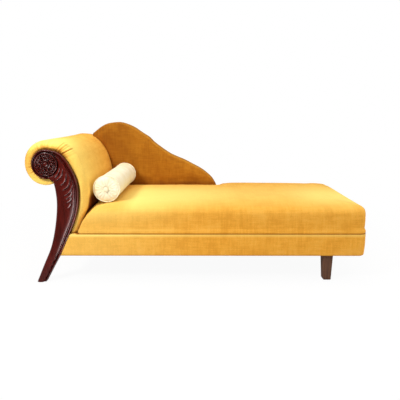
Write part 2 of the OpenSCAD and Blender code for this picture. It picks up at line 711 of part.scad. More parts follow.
module back_inside_cover() {
    color(fabric_shade)
        skin([for (x = BACK_X) let (z = top_z(x), r = back_edge_r) concat(
            [[x, back_y0, foot_of(x)]],
            [for (k = [0:round_steps]) let (a = 90 * k / round_steps)
                [x, back_y0 + r * (1 - cos(a)), z - r + r * sin(a)]],
            [[x, back_cover_y1, z], [x, back_cover_y1, z - cover_t]],
            [for (k = [round_steps:-1:0]) let (a = 90 * k / round_steps, q = r - cover_t)
                [x, back_y0 + r - q * cos(a), z - r + q * sin(a)]],
            [[x, back_y0 + cover_t, foot_of(x)]])]);
}
back_board_y0 = frame_y1 - back_board_t;
module back_foam() {
    color(foam_white)
        skin([for (x = BACK_X) let (z = top_z(x), r = back_edge_r - layer) concat(
            [[x, back_y0 + layer, foot_of(x)]],
            [for (k = [0:round_steps - 1]) let (a = 90 * k / (round_steps - 1))
                [x, back_y0 + back_edge_r - r * cos(a), z - back_edge_r + r * sin(a)]],
            [[x, back_board_y0 - clear, z - layer], [x, back_board_y0 - clear, foot_of(x)]])]);
}
module back_sheet(y0, y1, drop) {
    slab_y(y0, y1)
        polygon(concat(
            [for (x = BACK_X) if (x < back_x0) [x, foot_of(x)]],
            [for (q = flipped(arm_side)) if (q[1] < side_turn) q],
            [for (x = BACK_X) if (x > back_x0) [x, seat_z]],
            [for (x = flipped(BACK_X)) [x, top_z(x) - drop]]));
}
back_dowel_r = 5;
back_dowel_l = 30;
BACK_DOWELS = [for (s = [0.1, 0.3, 0.5, 0.7, 0.9]) back_x0 + s * (back_x1 - back_x0)];
module back_dowel_set(extra) {
    for (x = BACK_DOWELS)
        rod_z(x, back_board_y0 + back_board_t / 2, back_dowel_r + extra, rail_z1 - back_dowel_l - extra,
            rail_z1 + back_dowel_l + extra);
}
module back_dowels() {
    color(frame_wood) back_dowel_set(0);
}
module back_board() {
    color(frame_wood)
        difference() {
            union() {
                back_sheet(back_board_y0, frame_y1, cover_t + 2 * piping_r);
                block(back_x0, back_x1, back_board_y0, frame_y1, rail_z1, seat_z);
            }
            back_dowel_set(hole_clear);
        }
}
module back_outside_cover() {
    color(fabric) back_sheet(y_back - cover_t, y_back, 2 * piping_r + clear);
}
module back_piping() {
    color(fabric_shade)
        skin([for (x = BACK_X) [for (k = [0:5])
            [x, y_back - piping_r + piping_r * cos(60 * k), top_z(x) - piping_r + piping_r * sin(60 * k)]]]);
}

// Square tapered legs, each with a bolt, an insert and a glide
bolt_r = 4;
bolt_l = 34;
spike_r = 1.5;
spike_l = 18;
leg_h = rail_z0 - glide_h;
module taper(x, y) {
    a = leg_foot / 2;
    b = leg_top / 2;
    skin([at_z([[x - a, y - a], [x + a, y - a], [x + a, y + a], [x - a, y + a]], glide_h),
        at_z([[x - b, y - b], [x + b, y - b], [x + b, y + b], [x - b, y + b]], rail_z0)]);
}
module square_leg(p) {
    color(show_wood)
        difference() {
            taper(p[0], p[1]);
            rod_z(p[0], p[1], bolt_r + hole_clear, rail_z0 - bolt_l - hole_clear, rail_z0 + over);
            rod_z(p[0], p[1], spike_r + hole_clear, 0, glide_h + spike_l + hole_clear);
        }
}
module foot_front_leg() {
    square_leg(LEGS[0]);
}
module foot_rear_leg() {
    square_leg(LEGS[1]);
}
module head_rear_leg() {
    square_leg(LEGS[2]);
}
module leg_bolts() {
    color(steel)
        for (p = LEGS)
            rod_z(p[0], p[1], bolt_r, rail_z0 - bolt_l, rail_z0 + bolt_l - hole_clear);
}
module leg_inserts() {
    color(steel)
        difference() {
            for (p = LEGS)
                rod_z(p[0], p[1], insert_r, rail_z0, rail_z0 + insert_h);
            for (p = LEGS)
                rod_z(p[0], p[1], insert_bore_r, rail_z0 - over, rail_z0 + insert_h + over);
        }
}
module foot_glides() {
    color(lining)
        for (p = concat(LEGS, [[scroll_foot_x, scroll_foot_y]])) {
            rod_z(p[0], p[1], glide_r, 0, glide_h);
            rod_z(p[0], p[1], spike_r, 0, glide_h + spike_l);
        }
}

// The bolster: it lies on the seat, across the couch, against the arm
rim_y = bolster_l / 2;
bolster_x = arm_bulge + bolster_r + clear + bolster_gap + (rim_y + bolster_dome) * sin(bolster_turn);
crown_x0 = x_at(arm_inner, seat_edge_z) + clear + seat_edge_r;
bolster_share = (seat_mid[0] - bolster_x) / (seat_mid[0] - crown_x0);
bolster_z = seat_edge_z + seat_crown * (1 - bolster_share * bolster_share) + bolster_r + clear;
bolster_y = -bolster_shift;
button_share = 0.17;
button_depth_share = 0.08;
shank_share = 0.05;
button_r = bolster_r * button_share;
button_t = bolster_r * button_depth_share;
shank_r = bolster_r * shank_share;
module laid() {
    translate([bolster_x, bolster_y, bolster_z])
        rotate([0, 0, -bolster_turn]) children();
}
// Half of the bolster's profile from the rim inwards: share of the end's radius and of the dome
dome_shares = [[1, 0], [0.97, 0.28], [0.85, 0.66], [0.66, 0.92], [0.46, 1], [0.28, 0.86], [0.14, 0.6]];
end_r = bolster_r - 2 * piping_r - clear;
shoulder_y = rim_y - 2 * piping_r - clear;
gather_side_share = 0.2;
function gathered(r, y, depth, side) = [for (k = [0:gather_count - 1], m = [-1:1])
    let (a = 360 * (k + m * gather_side_share) / gather_count, q = r - (m == 0 ? depth : 0))
    [q * cos(a), side * y, q * sin(a)]];
function dome_rings(side, d, depth, skip = 1) = [for (i = [0:skip:len(dome_shares) - 1])
    let (s = dome_shares[i])
    gathered(end_r * s[0] - d * s[0], shoulder_y - d + (bolster_dome + rim_y - shoulder_y) * s[1],
        depth * (1 - abs(2 * s[0] - 1.2)) * s[0], side)];
module bolster_cover() {
    color(cream)
        laid()
            skin(concat(
                flipped(dome_rings(-1, 0, gather_d)),
                [gathered(bolster_r, shoulder_y, 0, -1), gathered(bolster_r, shoulder_y, 0, 1)],
                dome_rings(1, 0, gather_d),
                flipped(dome_rings(1, cover_t, gather_d, 3)),
                [gathered(bolster_r - cover_t, shoulder_y - cover_t, 0, 1),
                    gathered(bolster_r - cover_t, shoulder_y - cover_t, 0, -1)],
                dome_rings(-1, cover_t, gather_d, 3)), joined = true);
}
fill_dome_share = 0.55;
module bolster_filling() {
    r = bolster_r - layer - clear;
    dome_y = shoulder_y + bolster_dome / 2;
    dome_r = end_r * fill_dome_share;
    fill_end_r = end_r - 2 * gather_d - layer;
    side_r = r - facet_clear;
    side_y = shoulder_y - 2 * layer;
    color(foam_white)
        laid()
            rotate([90, 0, 0])
                difference() {
                    rotate_extrude($fn = 64)
                        polygon([[0, -dome_y], [dome_r, -dome_y], [fill_end_r, -shoulder_y],
                            [side_r, -side_y], [side_r, side_y], [fill_end_r, shoulder_y],
                            [dome_r, dome_y], [0, dome_y]]);
                    translate([0, 0, -bolster_l])
                        cylinder(h = 2 * bolster_l, r = shank_r + clear, $fn = 32);
                }
}
module rim_piping(y) {
    translate([0, y, 0])
        rotate([90, 0, 0])
            rotate_extrude($fn = 64)
                translate([bolster_r - piping_r, 0])
                    circle(r = piping_r - hole_clear, $fn = 24);
}
module bolster_piping() {
    color(cream)
        laid() {
            rim_piping(piping_r - rim_y);
            rim_piping(rim_y - piping_r);
        }
}
module bolster_button(side) {
    y0 = side * (rim_y + bolster_dome * 0.8);
    y1 = y0 + side * button_t;
    rod_y(0, 0, button_r, min(y0, y1), max(y0, y1));
    rod_y(0, 0, shank_r, min(y0, 0), max(y0, 0));
}
module bolster_buttons() {
    color(cream)
        laid() {
            bolster_button(-1);
            bolster_button(1);
        }
}

front_rail();
rear_rail();
head_end_rail();
foot_end_rail();
cross_rails();
corner_blocks();
leg_blocks();
rail_screws();
base_foam();
base_cover();
dust_cover();
seat_frame();
seat_webbing();
seat_foam();
seat_wadding();
seat_cover();
arm_front_rib();
arm_middle_rib();
arm_rear_rib();
arm_foot_board();
arm_board_screws();
arm_ply_skin();
arm_foam();
arm_cover();
arm_rear_panel();
scroll_leg();
rosette();
scroll_dowels();
back_board();
back_foam();
back_inside_cover();
back_outside_cover();
back_piping();
back_dowels();
foot_front_leg();
foot_rear_leg();
head_rear_leg();
leg_bolts();
leg_inserts();
foot_glides();
bolster_filling();
bolster_cover();
bolster_piping();
bolster_buttons();
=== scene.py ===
import bpy, bmesh, math
import numpy as np
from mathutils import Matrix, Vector, noise
from mathutils.geometry import delaunay_2d_cdt


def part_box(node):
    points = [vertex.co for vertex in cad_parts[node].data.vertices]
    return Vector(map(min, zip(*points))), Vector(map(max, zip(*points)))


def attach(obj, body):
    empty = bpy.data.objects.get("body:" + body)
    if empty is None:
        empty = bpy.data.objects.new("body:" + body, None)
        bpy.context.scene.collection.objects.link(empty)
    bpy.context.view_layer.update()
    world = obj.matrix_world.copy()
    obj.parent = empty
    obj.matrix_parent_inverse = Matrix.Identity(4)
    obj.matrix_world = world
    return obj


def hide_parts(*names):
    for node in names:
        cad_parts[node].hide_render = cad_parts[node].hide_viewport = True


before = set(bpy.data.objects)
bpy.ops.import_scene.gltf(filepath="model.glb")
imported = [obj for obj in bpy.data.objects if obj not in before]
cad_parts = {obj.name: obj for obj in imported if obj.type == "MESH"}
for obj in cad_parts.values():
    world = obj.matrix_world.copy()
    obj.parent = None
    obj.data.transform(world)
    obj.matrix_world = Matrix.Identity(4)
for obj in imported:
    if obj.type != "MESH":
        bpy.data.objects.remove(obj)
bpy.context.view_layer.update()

# Camera, lamps and paper sweep -------------------------------------------------------------------------
# The couch stands on white paper in a photographer's studio: the key is a softbox high on the left, with a
# wide one overhead, a weak one from the right, and an even pale room around them.
scene = bpy.context.scene
scene.view_settings.view_transform = "Standard"


def linear(hex_code):
    channels = [int(hex_code[i:i + 2], 16) / 255 for i in (0, 2, 4)]
    return tuple(c / 12.92 if c <= 0.04045 else ((c + 0.055) / 1.055) ** 2.4 for c in channels) + (1.0,)


def add(tree, kind, sockets=(), stops=(), **settings):
    """One node: what its sockets hold or are fed by, the stops of its colour ramp, and its settings."""
    made = tree.nodes.new(kind if "Node" in kind else "ShaderNode" + kind)
    for key, value in settings.items():
        setattr(made, key, value)
    for key, value in dict(sockets).items():
        value = value.outputs[0] if isinstance(value, bpy.types.Node) else value
        if isinstance(value, bpy.types.NodeSocket):
            tree.links.new(value, made.inputs[key])
        else:
            made.inputs[key].default_value = value
    for index, (position, hex_code) in enumerate(stops):
        elements = made.color_ramp.elements
        stop = elements[index] if index < 2 else elements.new(position)
        stop.position, stop.color = position, linear(hex_code)
    return made


def put(name, data):
    """An object that holds the data, unturned and at the origin."""
    made = bpy.data.objects.new(name, data)
    scene.collection.objects.link(made)
    return made


def new_material(name):
    """An empty material, its node tree, and the point on the object that its patterns are measured from."""
    made = bpy.data.materials.new(name)
    made.use_nodes = True
    made.node_tree.nodes.clear()
    return made, made.node_tree, add(made.node_tree, "TexCoord").outputs["Object"]


camera_data = bpy.data.cameras.new("camera")
camera_data.lens = 33.41
camera_data.sensor_width = 36
camera_data.sensor_fit = "HORIZONTAL"
camera_data.shift_x = 0.0053
camera_data.shift_y = -0.1285
camera = scene.camera = put("camera", camera_data)
camera.location = (0.0167, -2.2242, 0.9101)
camera.rotation_euler = (math.radians(84), 0, math.radians(0.147))

room = bpy.data.worlds.new("studio_room")
scene.world = room
room.use_nodes = True
tree = room.node_tree
tree.nodes.clear()
rays = add(tree, "LightPath")
clear_rays = add(tree, "Math", {0: rays.outputs["Is Camera Ray"], 1: rays.outputs["Is Transmission Ray"]},
                 operation="MAXIMUM")
sweep_rays = add(tree, "Math", {0: clear_rays, 1: rays.outputs["Is Glossy Ray"]}, operation="MAXIMUM")
# shiny parts mirror the white sweep behind the couch and the dim end of the studio behind the camera
heading = add(tree, "TexCoord")
parts = add(tree, "SeparateXYZ", {0: heading.outputs["Generated"]})
sweep_side = add(tree, "MapRange", {0: parts.outputs[1], "From Min": -0.15, "From Max": 0.35, "To Min": 0.02,
                 "To Max": 1.0}, interpolation_type="SMOOTHSTEP")
mirrored = add(tree, "Math", {0: clear_rays, 1: sweep_side}, operation="MAXIMUM")
walls = add(tree, "Background", {"Color": (0.94, 0.96, 1.0, 1), "Strength": 0.40})
white = add(tree, "Background", {"Color": (1, 1, 1, 1), "Strength": mirrored})
seen = add(tree, "MixShader", {0: sweep_rays, 1: walls, 2: white})
add(tree, "OutputWorld", {"Surface": seen})


def softbox(name, place, aim, width, height, watts, tint):
    data = bpy.data.lights.new(name, "AREA")
    data.shape = "RECTANGLE"
    data.size, data.size_y = width, height
    data.energy = watts
    data.color = tint
    lamp = put(name, data)
    lamp.location = place
    lamp.rotation_euler = (Vector(aim) - Vector(place)).to_track_quat("-Z", "Y").to_euler()


softbox("overhead_softbox", (0.1, -0.2, 2.9), (0.1, -0.05, 0.3), 2.6, 1.4, 34, (1.0, 0.985, 0.95))
softbox("left_softbox", (-1.75, -1.8, 2.45), (-0.4, 0.0, 0.4), 0.65, 0.65, 69, (1.0, 0.98, 0.95))
softbox("right_softbox", (2.5, -0.5, 1.3), (0.4, 0.0, 0.35), 0.9, 1.1, 20, (1.0, 0.98, 0.95))

sweep_mesh = bpy.data.meshes.new("paper_sweep")
sweep_mesh.from_pydata([(-7, -7, 0), (7, -7, 0), (7, 7, 0), (-7, 7, 0)], [], [(0, 1, 2, 3)])
sweep = put("paper_sweep", sweep_mesh)
paper, tree, place = new_material("white_paper_sweep")
rays = add(tree, "LightPath")
shown = add(tree, "Math", {0: rays.outputs["Is Camera Ray"], 1: rays.outputs["Is Glossy Ray"]}, operation="MAXIMUM")
# close to the couch the paper keeps a soft shadow; further off it burns out to white
reach = add(tree, "VectorMath", {0: place}, operation="LENGTH")
burnt = add(tree, "MapRange", {0: reach.outputs["Value"], "From Min": 1.1, "From Max": 2.2, "To Min": 0.945,
            "To Max": 1.0}, interpolation_type="SMOOTHSTEP")
# painted reflection: to glossy rays the floor glows, dim in front, where the studio ends, and brighter behind
depth = add(tree, "SeparateXYZ", {0: place})
near = add(tree, "MapRange", {0: depth.outputs[1], "From Min": -0.75, "From Max": -0.36, "To Min": 0.02,
           "To Max": 0.45}, interpolation_type="SMOOTHSTEP")
# painted reflection: right of the scroll leg a sector glows up to 12 times white, mirrored down the leg's right half
aside = add(tree, "Math", {0: depth, 1: 0.66}, operation="ADD")
ahead = add(tree, "Math", {0: depth.outputs[1], 1: -1.0, 2: -0.31}, operation="MULTIPLY_ADD")
sector = add(tree, "Math", {0: aside, 1: ahead}, operation="DIVIDE")
in_front = add(tree, "MapRange", {0: depth.outputs[1], "From Min": -0.40, "From Max": -0.34, "To Min": 1.0,
               "To Max": 0.0})
fan = add(tree, "MapRange", {0: sector, "From Min": 0.05, "From Max": 0.60, "To Min": 0.01, "To Max": 12.0},
          interpolation_type="SMOOTHSTEP")
right = add(tree, "Math", {0: fan, 1: in_front}, operation="MULTIPLY")
past_sector = add(tree, "MapRange", {0: depth, "From Min": 0.20, "From Max": 0.50, "To Min": 12.0, "To Max": 1.0},
              interpolation_type="SMOOTHSTEP")
glow_band = add(tree, "Math", {0: right, 1: past_sector}, operation="MINIMUM")
glossy_glow = add(tree, "Math", {0: near, 1: glow_band}, operation="MAXIMUM")
glow = add(tree, "Mix", {"Factor": rays.outputs["Is Camera Ray"], "A": glossy_glow, "B": 1.0}, data_type="FLOAT")
fibres = add(tree, "TexNoise", {"Scale": 90.0, "Detail": 4.0, "Vector": place})
shade = add(tree, "MapRange", {0: fibres, "To Min": 0.88, "To Max": 0.92})
matt = add(tree, "BsdfDiffuse", {"Color": shade})
bright = add(tree, "Emission", {"Color": (1, 1, 1, 1), "Strength": glow})
lifted = add(tree, "Math", {0: shown, 1: burnt}, operation="MULTIPLY")
seen = add(tree, "MixShader", {0: lifted, 1: matt, 2: bright})
add(tree, "OutputMaterial", {"Surface": seen})
sweep_mesh.materials.append(paper)

# Frame of the base, arm and back -------------------------------------------------------------------------
# Planed beech rails and blocks, screwed and dowelled, with birch plywood for the seat frame, the arm's ribs
# and bent skin, and the back board. The CAD nodes are right as they are and get their bare-wood finish.


def timber(name, early, late, pore, along, ring_mm, rough):
    """Wood cut along its grain: soft bands of early and late growth, fine dark pores that run with them."""
    made, t, place = new_material(name)
    # the grain is stretched about twelve times along the board
    stretch = tuple(0.08 if axis == along else 1.0 for axis in "XYZ")
    grain = add(t, "Mapping", {"Scale": stretch, "Vector": place})
    waver = add(t, "TexNoise", {"Scale": 9.0, "Detail": 3.0, "Vector": grain})
    bent = add(t, "VectorMath", {0: waver.outputs["Color"], 1: (0.03, 0.03, 0.03), 2: grain},
               operation="MULTIPLY_ADD")
    rings = add(t, "TexNoise", {"Scale": 1000.0 / ring_mm / 3, "Detail": 4.0, "Roughness": 0.65, "Vector": bent})
    pores = add(t, "TexNoise", {"Scale": 900.0, "Detail": 2.0, "Vector": grain})
    tone = add(t, "ValToRGB", {0: rings}, stops=((0.34, late), (0.66, early)))
    dots = add(t, "MapRange", {0: pores, "From Min": 0.60, "From Max": 0.72, "To Min": 0.0, "To Max": 0.55})
    shade = add(t, "Mix", {"Factor": dots, "A": tone, "B": linear(pore)}, data_type="RGBA")
    shine = add(t, "MapRange", {0: rings, "To Min": rough - 0.06, "To Max": rough + 0.10})
    relief = add(t, "Bump", {"Strength": 0.25, "Distance": 0.0004, "Height": dots}, invert=True)
    wood = add(t, "BsdfPrincipled", {"IOR": 1.5, "Specular IOR Level": 0.3, "Base Color": shade.outputs[2],
               "Roughness": shine, "Normal": relief})
    add(t, "OutputMaterial", {"Surface": wood})
    return made


def dress(material, *names):
    """Give CAD nodes that keep their shape a finish."""
    for name in names:
        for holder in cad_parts[name].material_slots:
            holder.material = material


# Planed beech: pale pink brown with short dark flecks, dull because nothing seals it.
dress(timber("planed_beech_lengthwise", "d9b183", "c1905f", "8a5c38", "X", 4, 0.62),
      "front_rail", "rear_rail", "leg_blocks")
dress(timber("planed_beech_crosswise", "d6ad80", "bd8b5b", "8a5c38", "Y", 4, 0.62),
      "head_end_rail", "foot_end_rail", "cross_rails", "corner_blocks", "arm_foot_board", "scroll_dowels")
dress(timber("planed_beech_upright", "d9b183", "c1905f", "8a5c38", "Z", 3, 0.62), "back_dowels")
# Birch plywood: creamy faces with wide faint grain.
dress(timber("birch_plywood_lengthwise", "e2c79a", "cfae7c", "a98555", "X", 9, 0.58),
      "seat_frame", "back_board")
dress(timber("birch_plywood_upright", "e2c79a", "cfae7c", "a98555", "Z", 9, 0.58),
      "arm_front_rib", "arm_middle_rib", "arm_rear_rib", "arm_ply_skin")

# Zinc plated steel: pale blue grey with a faint spangle, used for every screw, bolt and insert.
zinc, t, place = new_material("zinc_plated_steel")
# spangles about 2 mm across
spangle = add(t, "TexVoronoi", {"Scale": 500.0, "Vector": place}, feature="SMOOTH_F1")
tone = add(t, "ValToRGB", {0: spangle.outputs["Distance"]}, stops=((0.0, "d3d7dc"), (1.0, "a9adb4")))
haze = add(t, "MapRange", {0: spangle.outputs["Distance"], "To Min": 0.28, "To Max": 0.46})
metal = add(t, "BsdfPrincipled", {"Metallic": 1.0, "Base Color": tone, "Roughness": haze})
add(t, "OutputMaterial", {"Surface": metal})
dress(zinc, "rail_screws", "arm_board_screws", "leg_bolts", "leg_inserts")


def black_textile(name, body, thread, pitch_mm, rough):
    """Black synthetic textile: threads cross at the given pitch, and the light catches their crowns."""
    made, t, place = new_material(name)
    threads = {"Scale": 1000 / pitch_mm / 6.28 * 2, "Distortion": 0.6, "Vector": place}
    warp = add(t, "TexWave", threads, bands_direction="X")
    weft = add(t, "TexWave", threads, bands_direction="Y")
    weave = add(t, "Math", {0: warp.outputs[1], 1: weft.outputs[1]}, operation="MULTIPLY")
    dust = add(t, "TexNoise", {"Scale": 35.0, "Detail": 5.0, "Vector": place})
    level = add(t, "Math", {0: weave, 1: dust}, operation="MULTIPLY")
    tone = add(t, "ValToRGB", {0: level}, stops=((0.0, body), (1.0, thread)))
    relief = add(t, "Bump", {"Strength": 0.4, "Distance": 0.0005, "Height": weave})
    cloth = add(t, "BsdfPrincipled", {"Roughness": rough, "Base Color": tone, "Normal": relief})
    add(t, "OutputMaterial", {"Surface": cloth})
    return made


# Elasticated polypropylene webbing: flat black straps with ribs 4 mm apart.
dress(black_textile("black_polypropylene_webbing", "0d0d0f", "303036", 4, 0.55), "seat_webbing")

# Dust cover ----------------------------------------------------------------------------------------------
# Thin black nonwoven cloth under the base, pulled flat and stapled to the rails round its edge, so it sags
# a little between them.
LIP = 0.0075
ARM_OUT_X, ARM_Y0, SEAT_Y0 = -0.7170, -0.312, -0.335
X_FOOT, Y_BACK = 0.900, 0.350
SCROLL_RIGHT = [(-.139, 0), (.127, .117), (.39, .232), (.69, .389), (.848, .48), (.954, .583), (.981, .676),
                (.959, .735), (.885, .797), (.760, .863), (.628, .916), (.448, .964), (.22, .993)]
SCROLL_LEFT = [(.203, .762), (.262, .69), (.287, .583), (.213, .427), (.058, .27), (-.192, .132), (-.43, 0)]
ROUNDEL, ROUNDEL_R = (-0.770, 0.630), 0.077


def spline(points, steps):
    """A curve through the points, as a batten bent round pins lies."""
    first = tuple(2 * u - v for u, v in zip(*points[:2]))
    last = tuple(2 * u - v for u, v in zip(*points[:-3:-1]))
    eased = [first, *points, last]
    out = []
    for four in zip(eased, eased[1:], eased[2:], eased[3:]):
        for t in (k / steps for k in range(steps)):
            out.append(tuple(0.5 * (2 * q + (r - p) * t + (2 * p - 5 * q + 4 * r - s) * t * t
                                    + (3 * q - p - 3 * r + s) * t ** 3) for p, q, r, s in zip(*four)))
    return out + [tuple(points[-1])]


def arc(centre, r, start, end, steps):
    return [(centre[0] + r * math.cos(math.radians(start + (end - start) * k / steps)),
             centre[1] + r * math.sin(math.radians(start + (end - start) * k / steps))) for k in range(steps + 1)]


scroll_right = spline([(ROUNDEL[0] + a * 0.165, 0.0015 + b * 0.7055) for a, b in SCROLL_RIGHT], 6)
scroll_left = spline([(ROUNDEL[0] + a * 0.165, 0.0015 + b * 0.7055) for a, b in SCROLL_LEFT], 6)


def x_on(curve, z):
    """Where a rising curve crosses a height."""
    heights, places = zip(*sorted((q[1], q[0]) for q in curve))
    return np.interp(z, heights, places)


def run(a, b, steps):
    """Points from a up to, but not on, b."""
    return [(a[0] + (b[0] - a[0]) * k / steps, a[1] + (b[1] - a[1]) * k / steps) for k in range(steps)]


BOARD_GAP = 0.0012


def base_plan(z, inset):
    """The base's outline at a height, moved inwards, from the scroll leg round to the head end and back."""
    edge_x = x_on(scroll_right[:46], z) + BOARD_GAP
    y0, x1, y1, x0 = SEAT_Y0 + inset, X_FOOT - inset, Y_BACK - inset, ARM_OUT_X + inset
    r, rr = max(0.040 - inset, 0.003), max(0.006 - inset, 0.002)
    front = arc((x1 - r, y0 + r), r, -90, 0, 10)
    rear = arc((x1 - rr, y1 - rr), rr, 0, 90, 4)
    head = arc((x0 + rr, y1 - rr), rr, 90, 180, 4)
    low = ARM_Y0 + 0.0006
    return (run((edge_x, y0), front[0], 120) + front[:-1] + run(front[-1], rear[0], 54) + rear[:-1]
            + run(rear[-1], head[0], 120) + head[:-1] + run(head[-1], (x0, low), 54)
            + run((x0, low), (edge_x, low), 6) + run((edge_x, low), (edge_x, y0), 3))


def smooth_faces(mesh):
    mesh.polygons.foreach_set("use_smooth", [True] * len(mesh.polygons))


def make_piece(name, verts, faces, material):
    """A new piece: doubles merged, faces turned outwards, finish given."""
    mesh = bpy.data.meshes.new(name)
    mesh.from_pydata([tuple(v) for v in verts], [], faces)
    bm = bmesh.new()
    bm.from_mesh(mesh)
    bmesh.ops.remove_doubles(bm, verts=bm.verts, dist=2e-6)
    bmesh.ops.recalc_face_normals(bm, faces=bm.faces)
    bm.to_mesh(mesh)
    bm.free()
    smooth_faces(mesh)
    mesh.materials.append(material)
    return put(name, mesh)


def loft(rings):
    """Points and faces of a closed skin over rings of equally many points, with its two end caps last."""
    n, m = len(rings[0]), len(rings)
    faces = [(j * n + i, j * n + (i + 1) % n, (j + 1) * n + (i + 1) % n, (j + 1) * n + i)
             for j in range(m - 1) for i in range(n)]
    faces += [tuple(range(n - 1, -1, -1)), tuple((m - 1) * n + i for i in range(n))]
    return [p for ring in rings for p in ring], faces


def bake(piece, kind, sizes=None, **settings):
    """Give a piece a modifier, with the named sizes of its tree if it has one, and keep the result as plain mesh."""
    live = piece.modifiers.new(kind.lower(), kind)
    for key, value in settings.items():
        setattr(live, key, value)
    if sizes:
        for socket in live.node_group.interface.items_tree:
            if socket.name in sizes:
                live[socket.identifier] = sizes[socket.name]
    finish = list(piece.data.materials)
    piece.data = bpy.data.meshes.new_from_object(piece.evaluated_get(bpy.context.evaluated_depsgraph_get()))
    piece.modifiers.clear()
    piece.data.materials.clear()
    for material in finish:
        piece.data.materials.append(material)
    piece.data.update()


def along_path(name, lines, build, sizes, material):
    """A piece that a Geometry Nodes tree with named sizes makes from lines of points, each (points, closed)."""
    tree = bpy.data.node_groups.get(build.__name__)
    if not tree:
        tree = bpy.data.node_groups.new(build.__name__, "GeometryNodeTree")
        tree.interface.new_socket("Geometry", in_out="INPUT", socket_type="NodeSocketGeometry")
        for label, value in sizes.items():
            kind = "NodeSocketInt" if isinstance(value, int) else "NodeSocketFloat"
            tree.interface.new_socket(label, in_out="INPUT", socket_type=kind).default_value = value
        tree.interface.new_socket("Geometry", in_out="OUTPUT", socket_type="NodeSocketGeometry")
        real = add(tree, "GeometryNodeRealizeInstances", {0: build(tree, tree.nodes.new("NodeGroupInput").outputs)})
        add(tree, "NodeGroupOutput", {0: real})
    verts, edges = [], []
    for points, closed in lines:
        first = len(verts)
        verts += [tuple(p) for p in points]
        edges += [(first + i, first + i + 1) for i in range(len(points) - 1)]
        if closed:
            edges.append((len(verts) - 1, first))
    mesh = bpy.data.meshes.new(name)
    mesh.from_pydata(verts, edges, [])
    mesh.materials.append(material)
    piece = put(name, mesh)
    bake(piece, "NODES", sizes, node_group=tree)
    smooth_faces(piece.data)
    return piece


lining = black_textile("black_nonwoven_lining", "101012", "2a2a2e", 2.5, 0.9)
LINING_Z, LINING_T, SAG = 0.1427, 0.0008, 0.0012
edge = base_plan(LINING_Z, LIP + 0.0035)
n, mid_x, mid_y = len(edge), sum(q[0] for q in edge) / len(edge), 0.01
rings = []
for share in (1.0, 0.985, 0.96, 0.92, 0.86, 0.78, 0.68, 0.56, 0.42, 0.26, 0.1):
    rings.append([])
    for q in edge:
        x, y = mid_x + (q[0] - mid_x) * share, mid_y + (q[1] - mid_y) * share
        ripple = 0.0009 * noise.noise(Vector((x * 9, y * 14, 0))) * min(1, (1 - share) * 6)
        rings[-1].append((x, y, LINING_Z - SAG * (1 - share ** 4) + ripple))
under, faces = loft(rings)
over = [(x, y, z + LINING_T) for x, y, z in under]
total = len(under)
# the under skin and its middle, the same again above it, and the hem between them
faces = faces[:-2] + faces[-1:]
faces += [tuple(total + i for i in reversed(f)) for f in faces]
faces += [(i, (i + 1) % n, total + (i + 1) % n, total + i) for i in range(n)]
dust_cover = make_piece("dust_cover_lining", under + over, faces, lining)
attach(dust_cover, "couch")
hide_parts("dust_cover")


def staple_row(tree, given):
    """Staples laid end to end along the line, each a flattened wire bar."""
    line = add(tree, "GeometryNodeMeshToCurve", {"Mesh": given["Geometry"]})
    spaced = add(tree, "GeometryNodeResampleCurve", {"Curve": line, "Length": given["Spacing"]}, mode="LENGTH")
    size = add(tree, "CombineXYZ", {0: given["Crown"], 1: given["Wire"], 2: given["Wire"]})
    bar = add(tree, "GeometryNodeMeshCube", {"Size": size})
    spots = add(tree, "GeometryNodeCurveToPoints", {"Curve": spaced}, mode="EVALUATED")
    turned = add(tree, "FunctionNodeAlignRotationToVector", {"Vector": spots.outputs["Tangent"]}, axis="X")
    return add(tree, "GeometryNodeInstanceOnPoints", {"Points": spots, "Instance": bar, "Rotation": turned})


inner = [(x, y, LINING_Z - 0.0006) for x, y in base_plan(LINING_Z, LIP + 0.012)]
staples = along_path("dust_cover_staples", [(inner, True)], staple_row,
                     {"Spacing": 0.045, "Crown": 0.011, "Wire": 0.0009}, zinc)
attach(staples, "couch")

# Boxed base ----------------------------------------------------------------------------------------------
# A strip of golden chenille drawn over the rails and a thin foam, turned under and stapled below. Its top
# edge rolls into the seam under the seat.


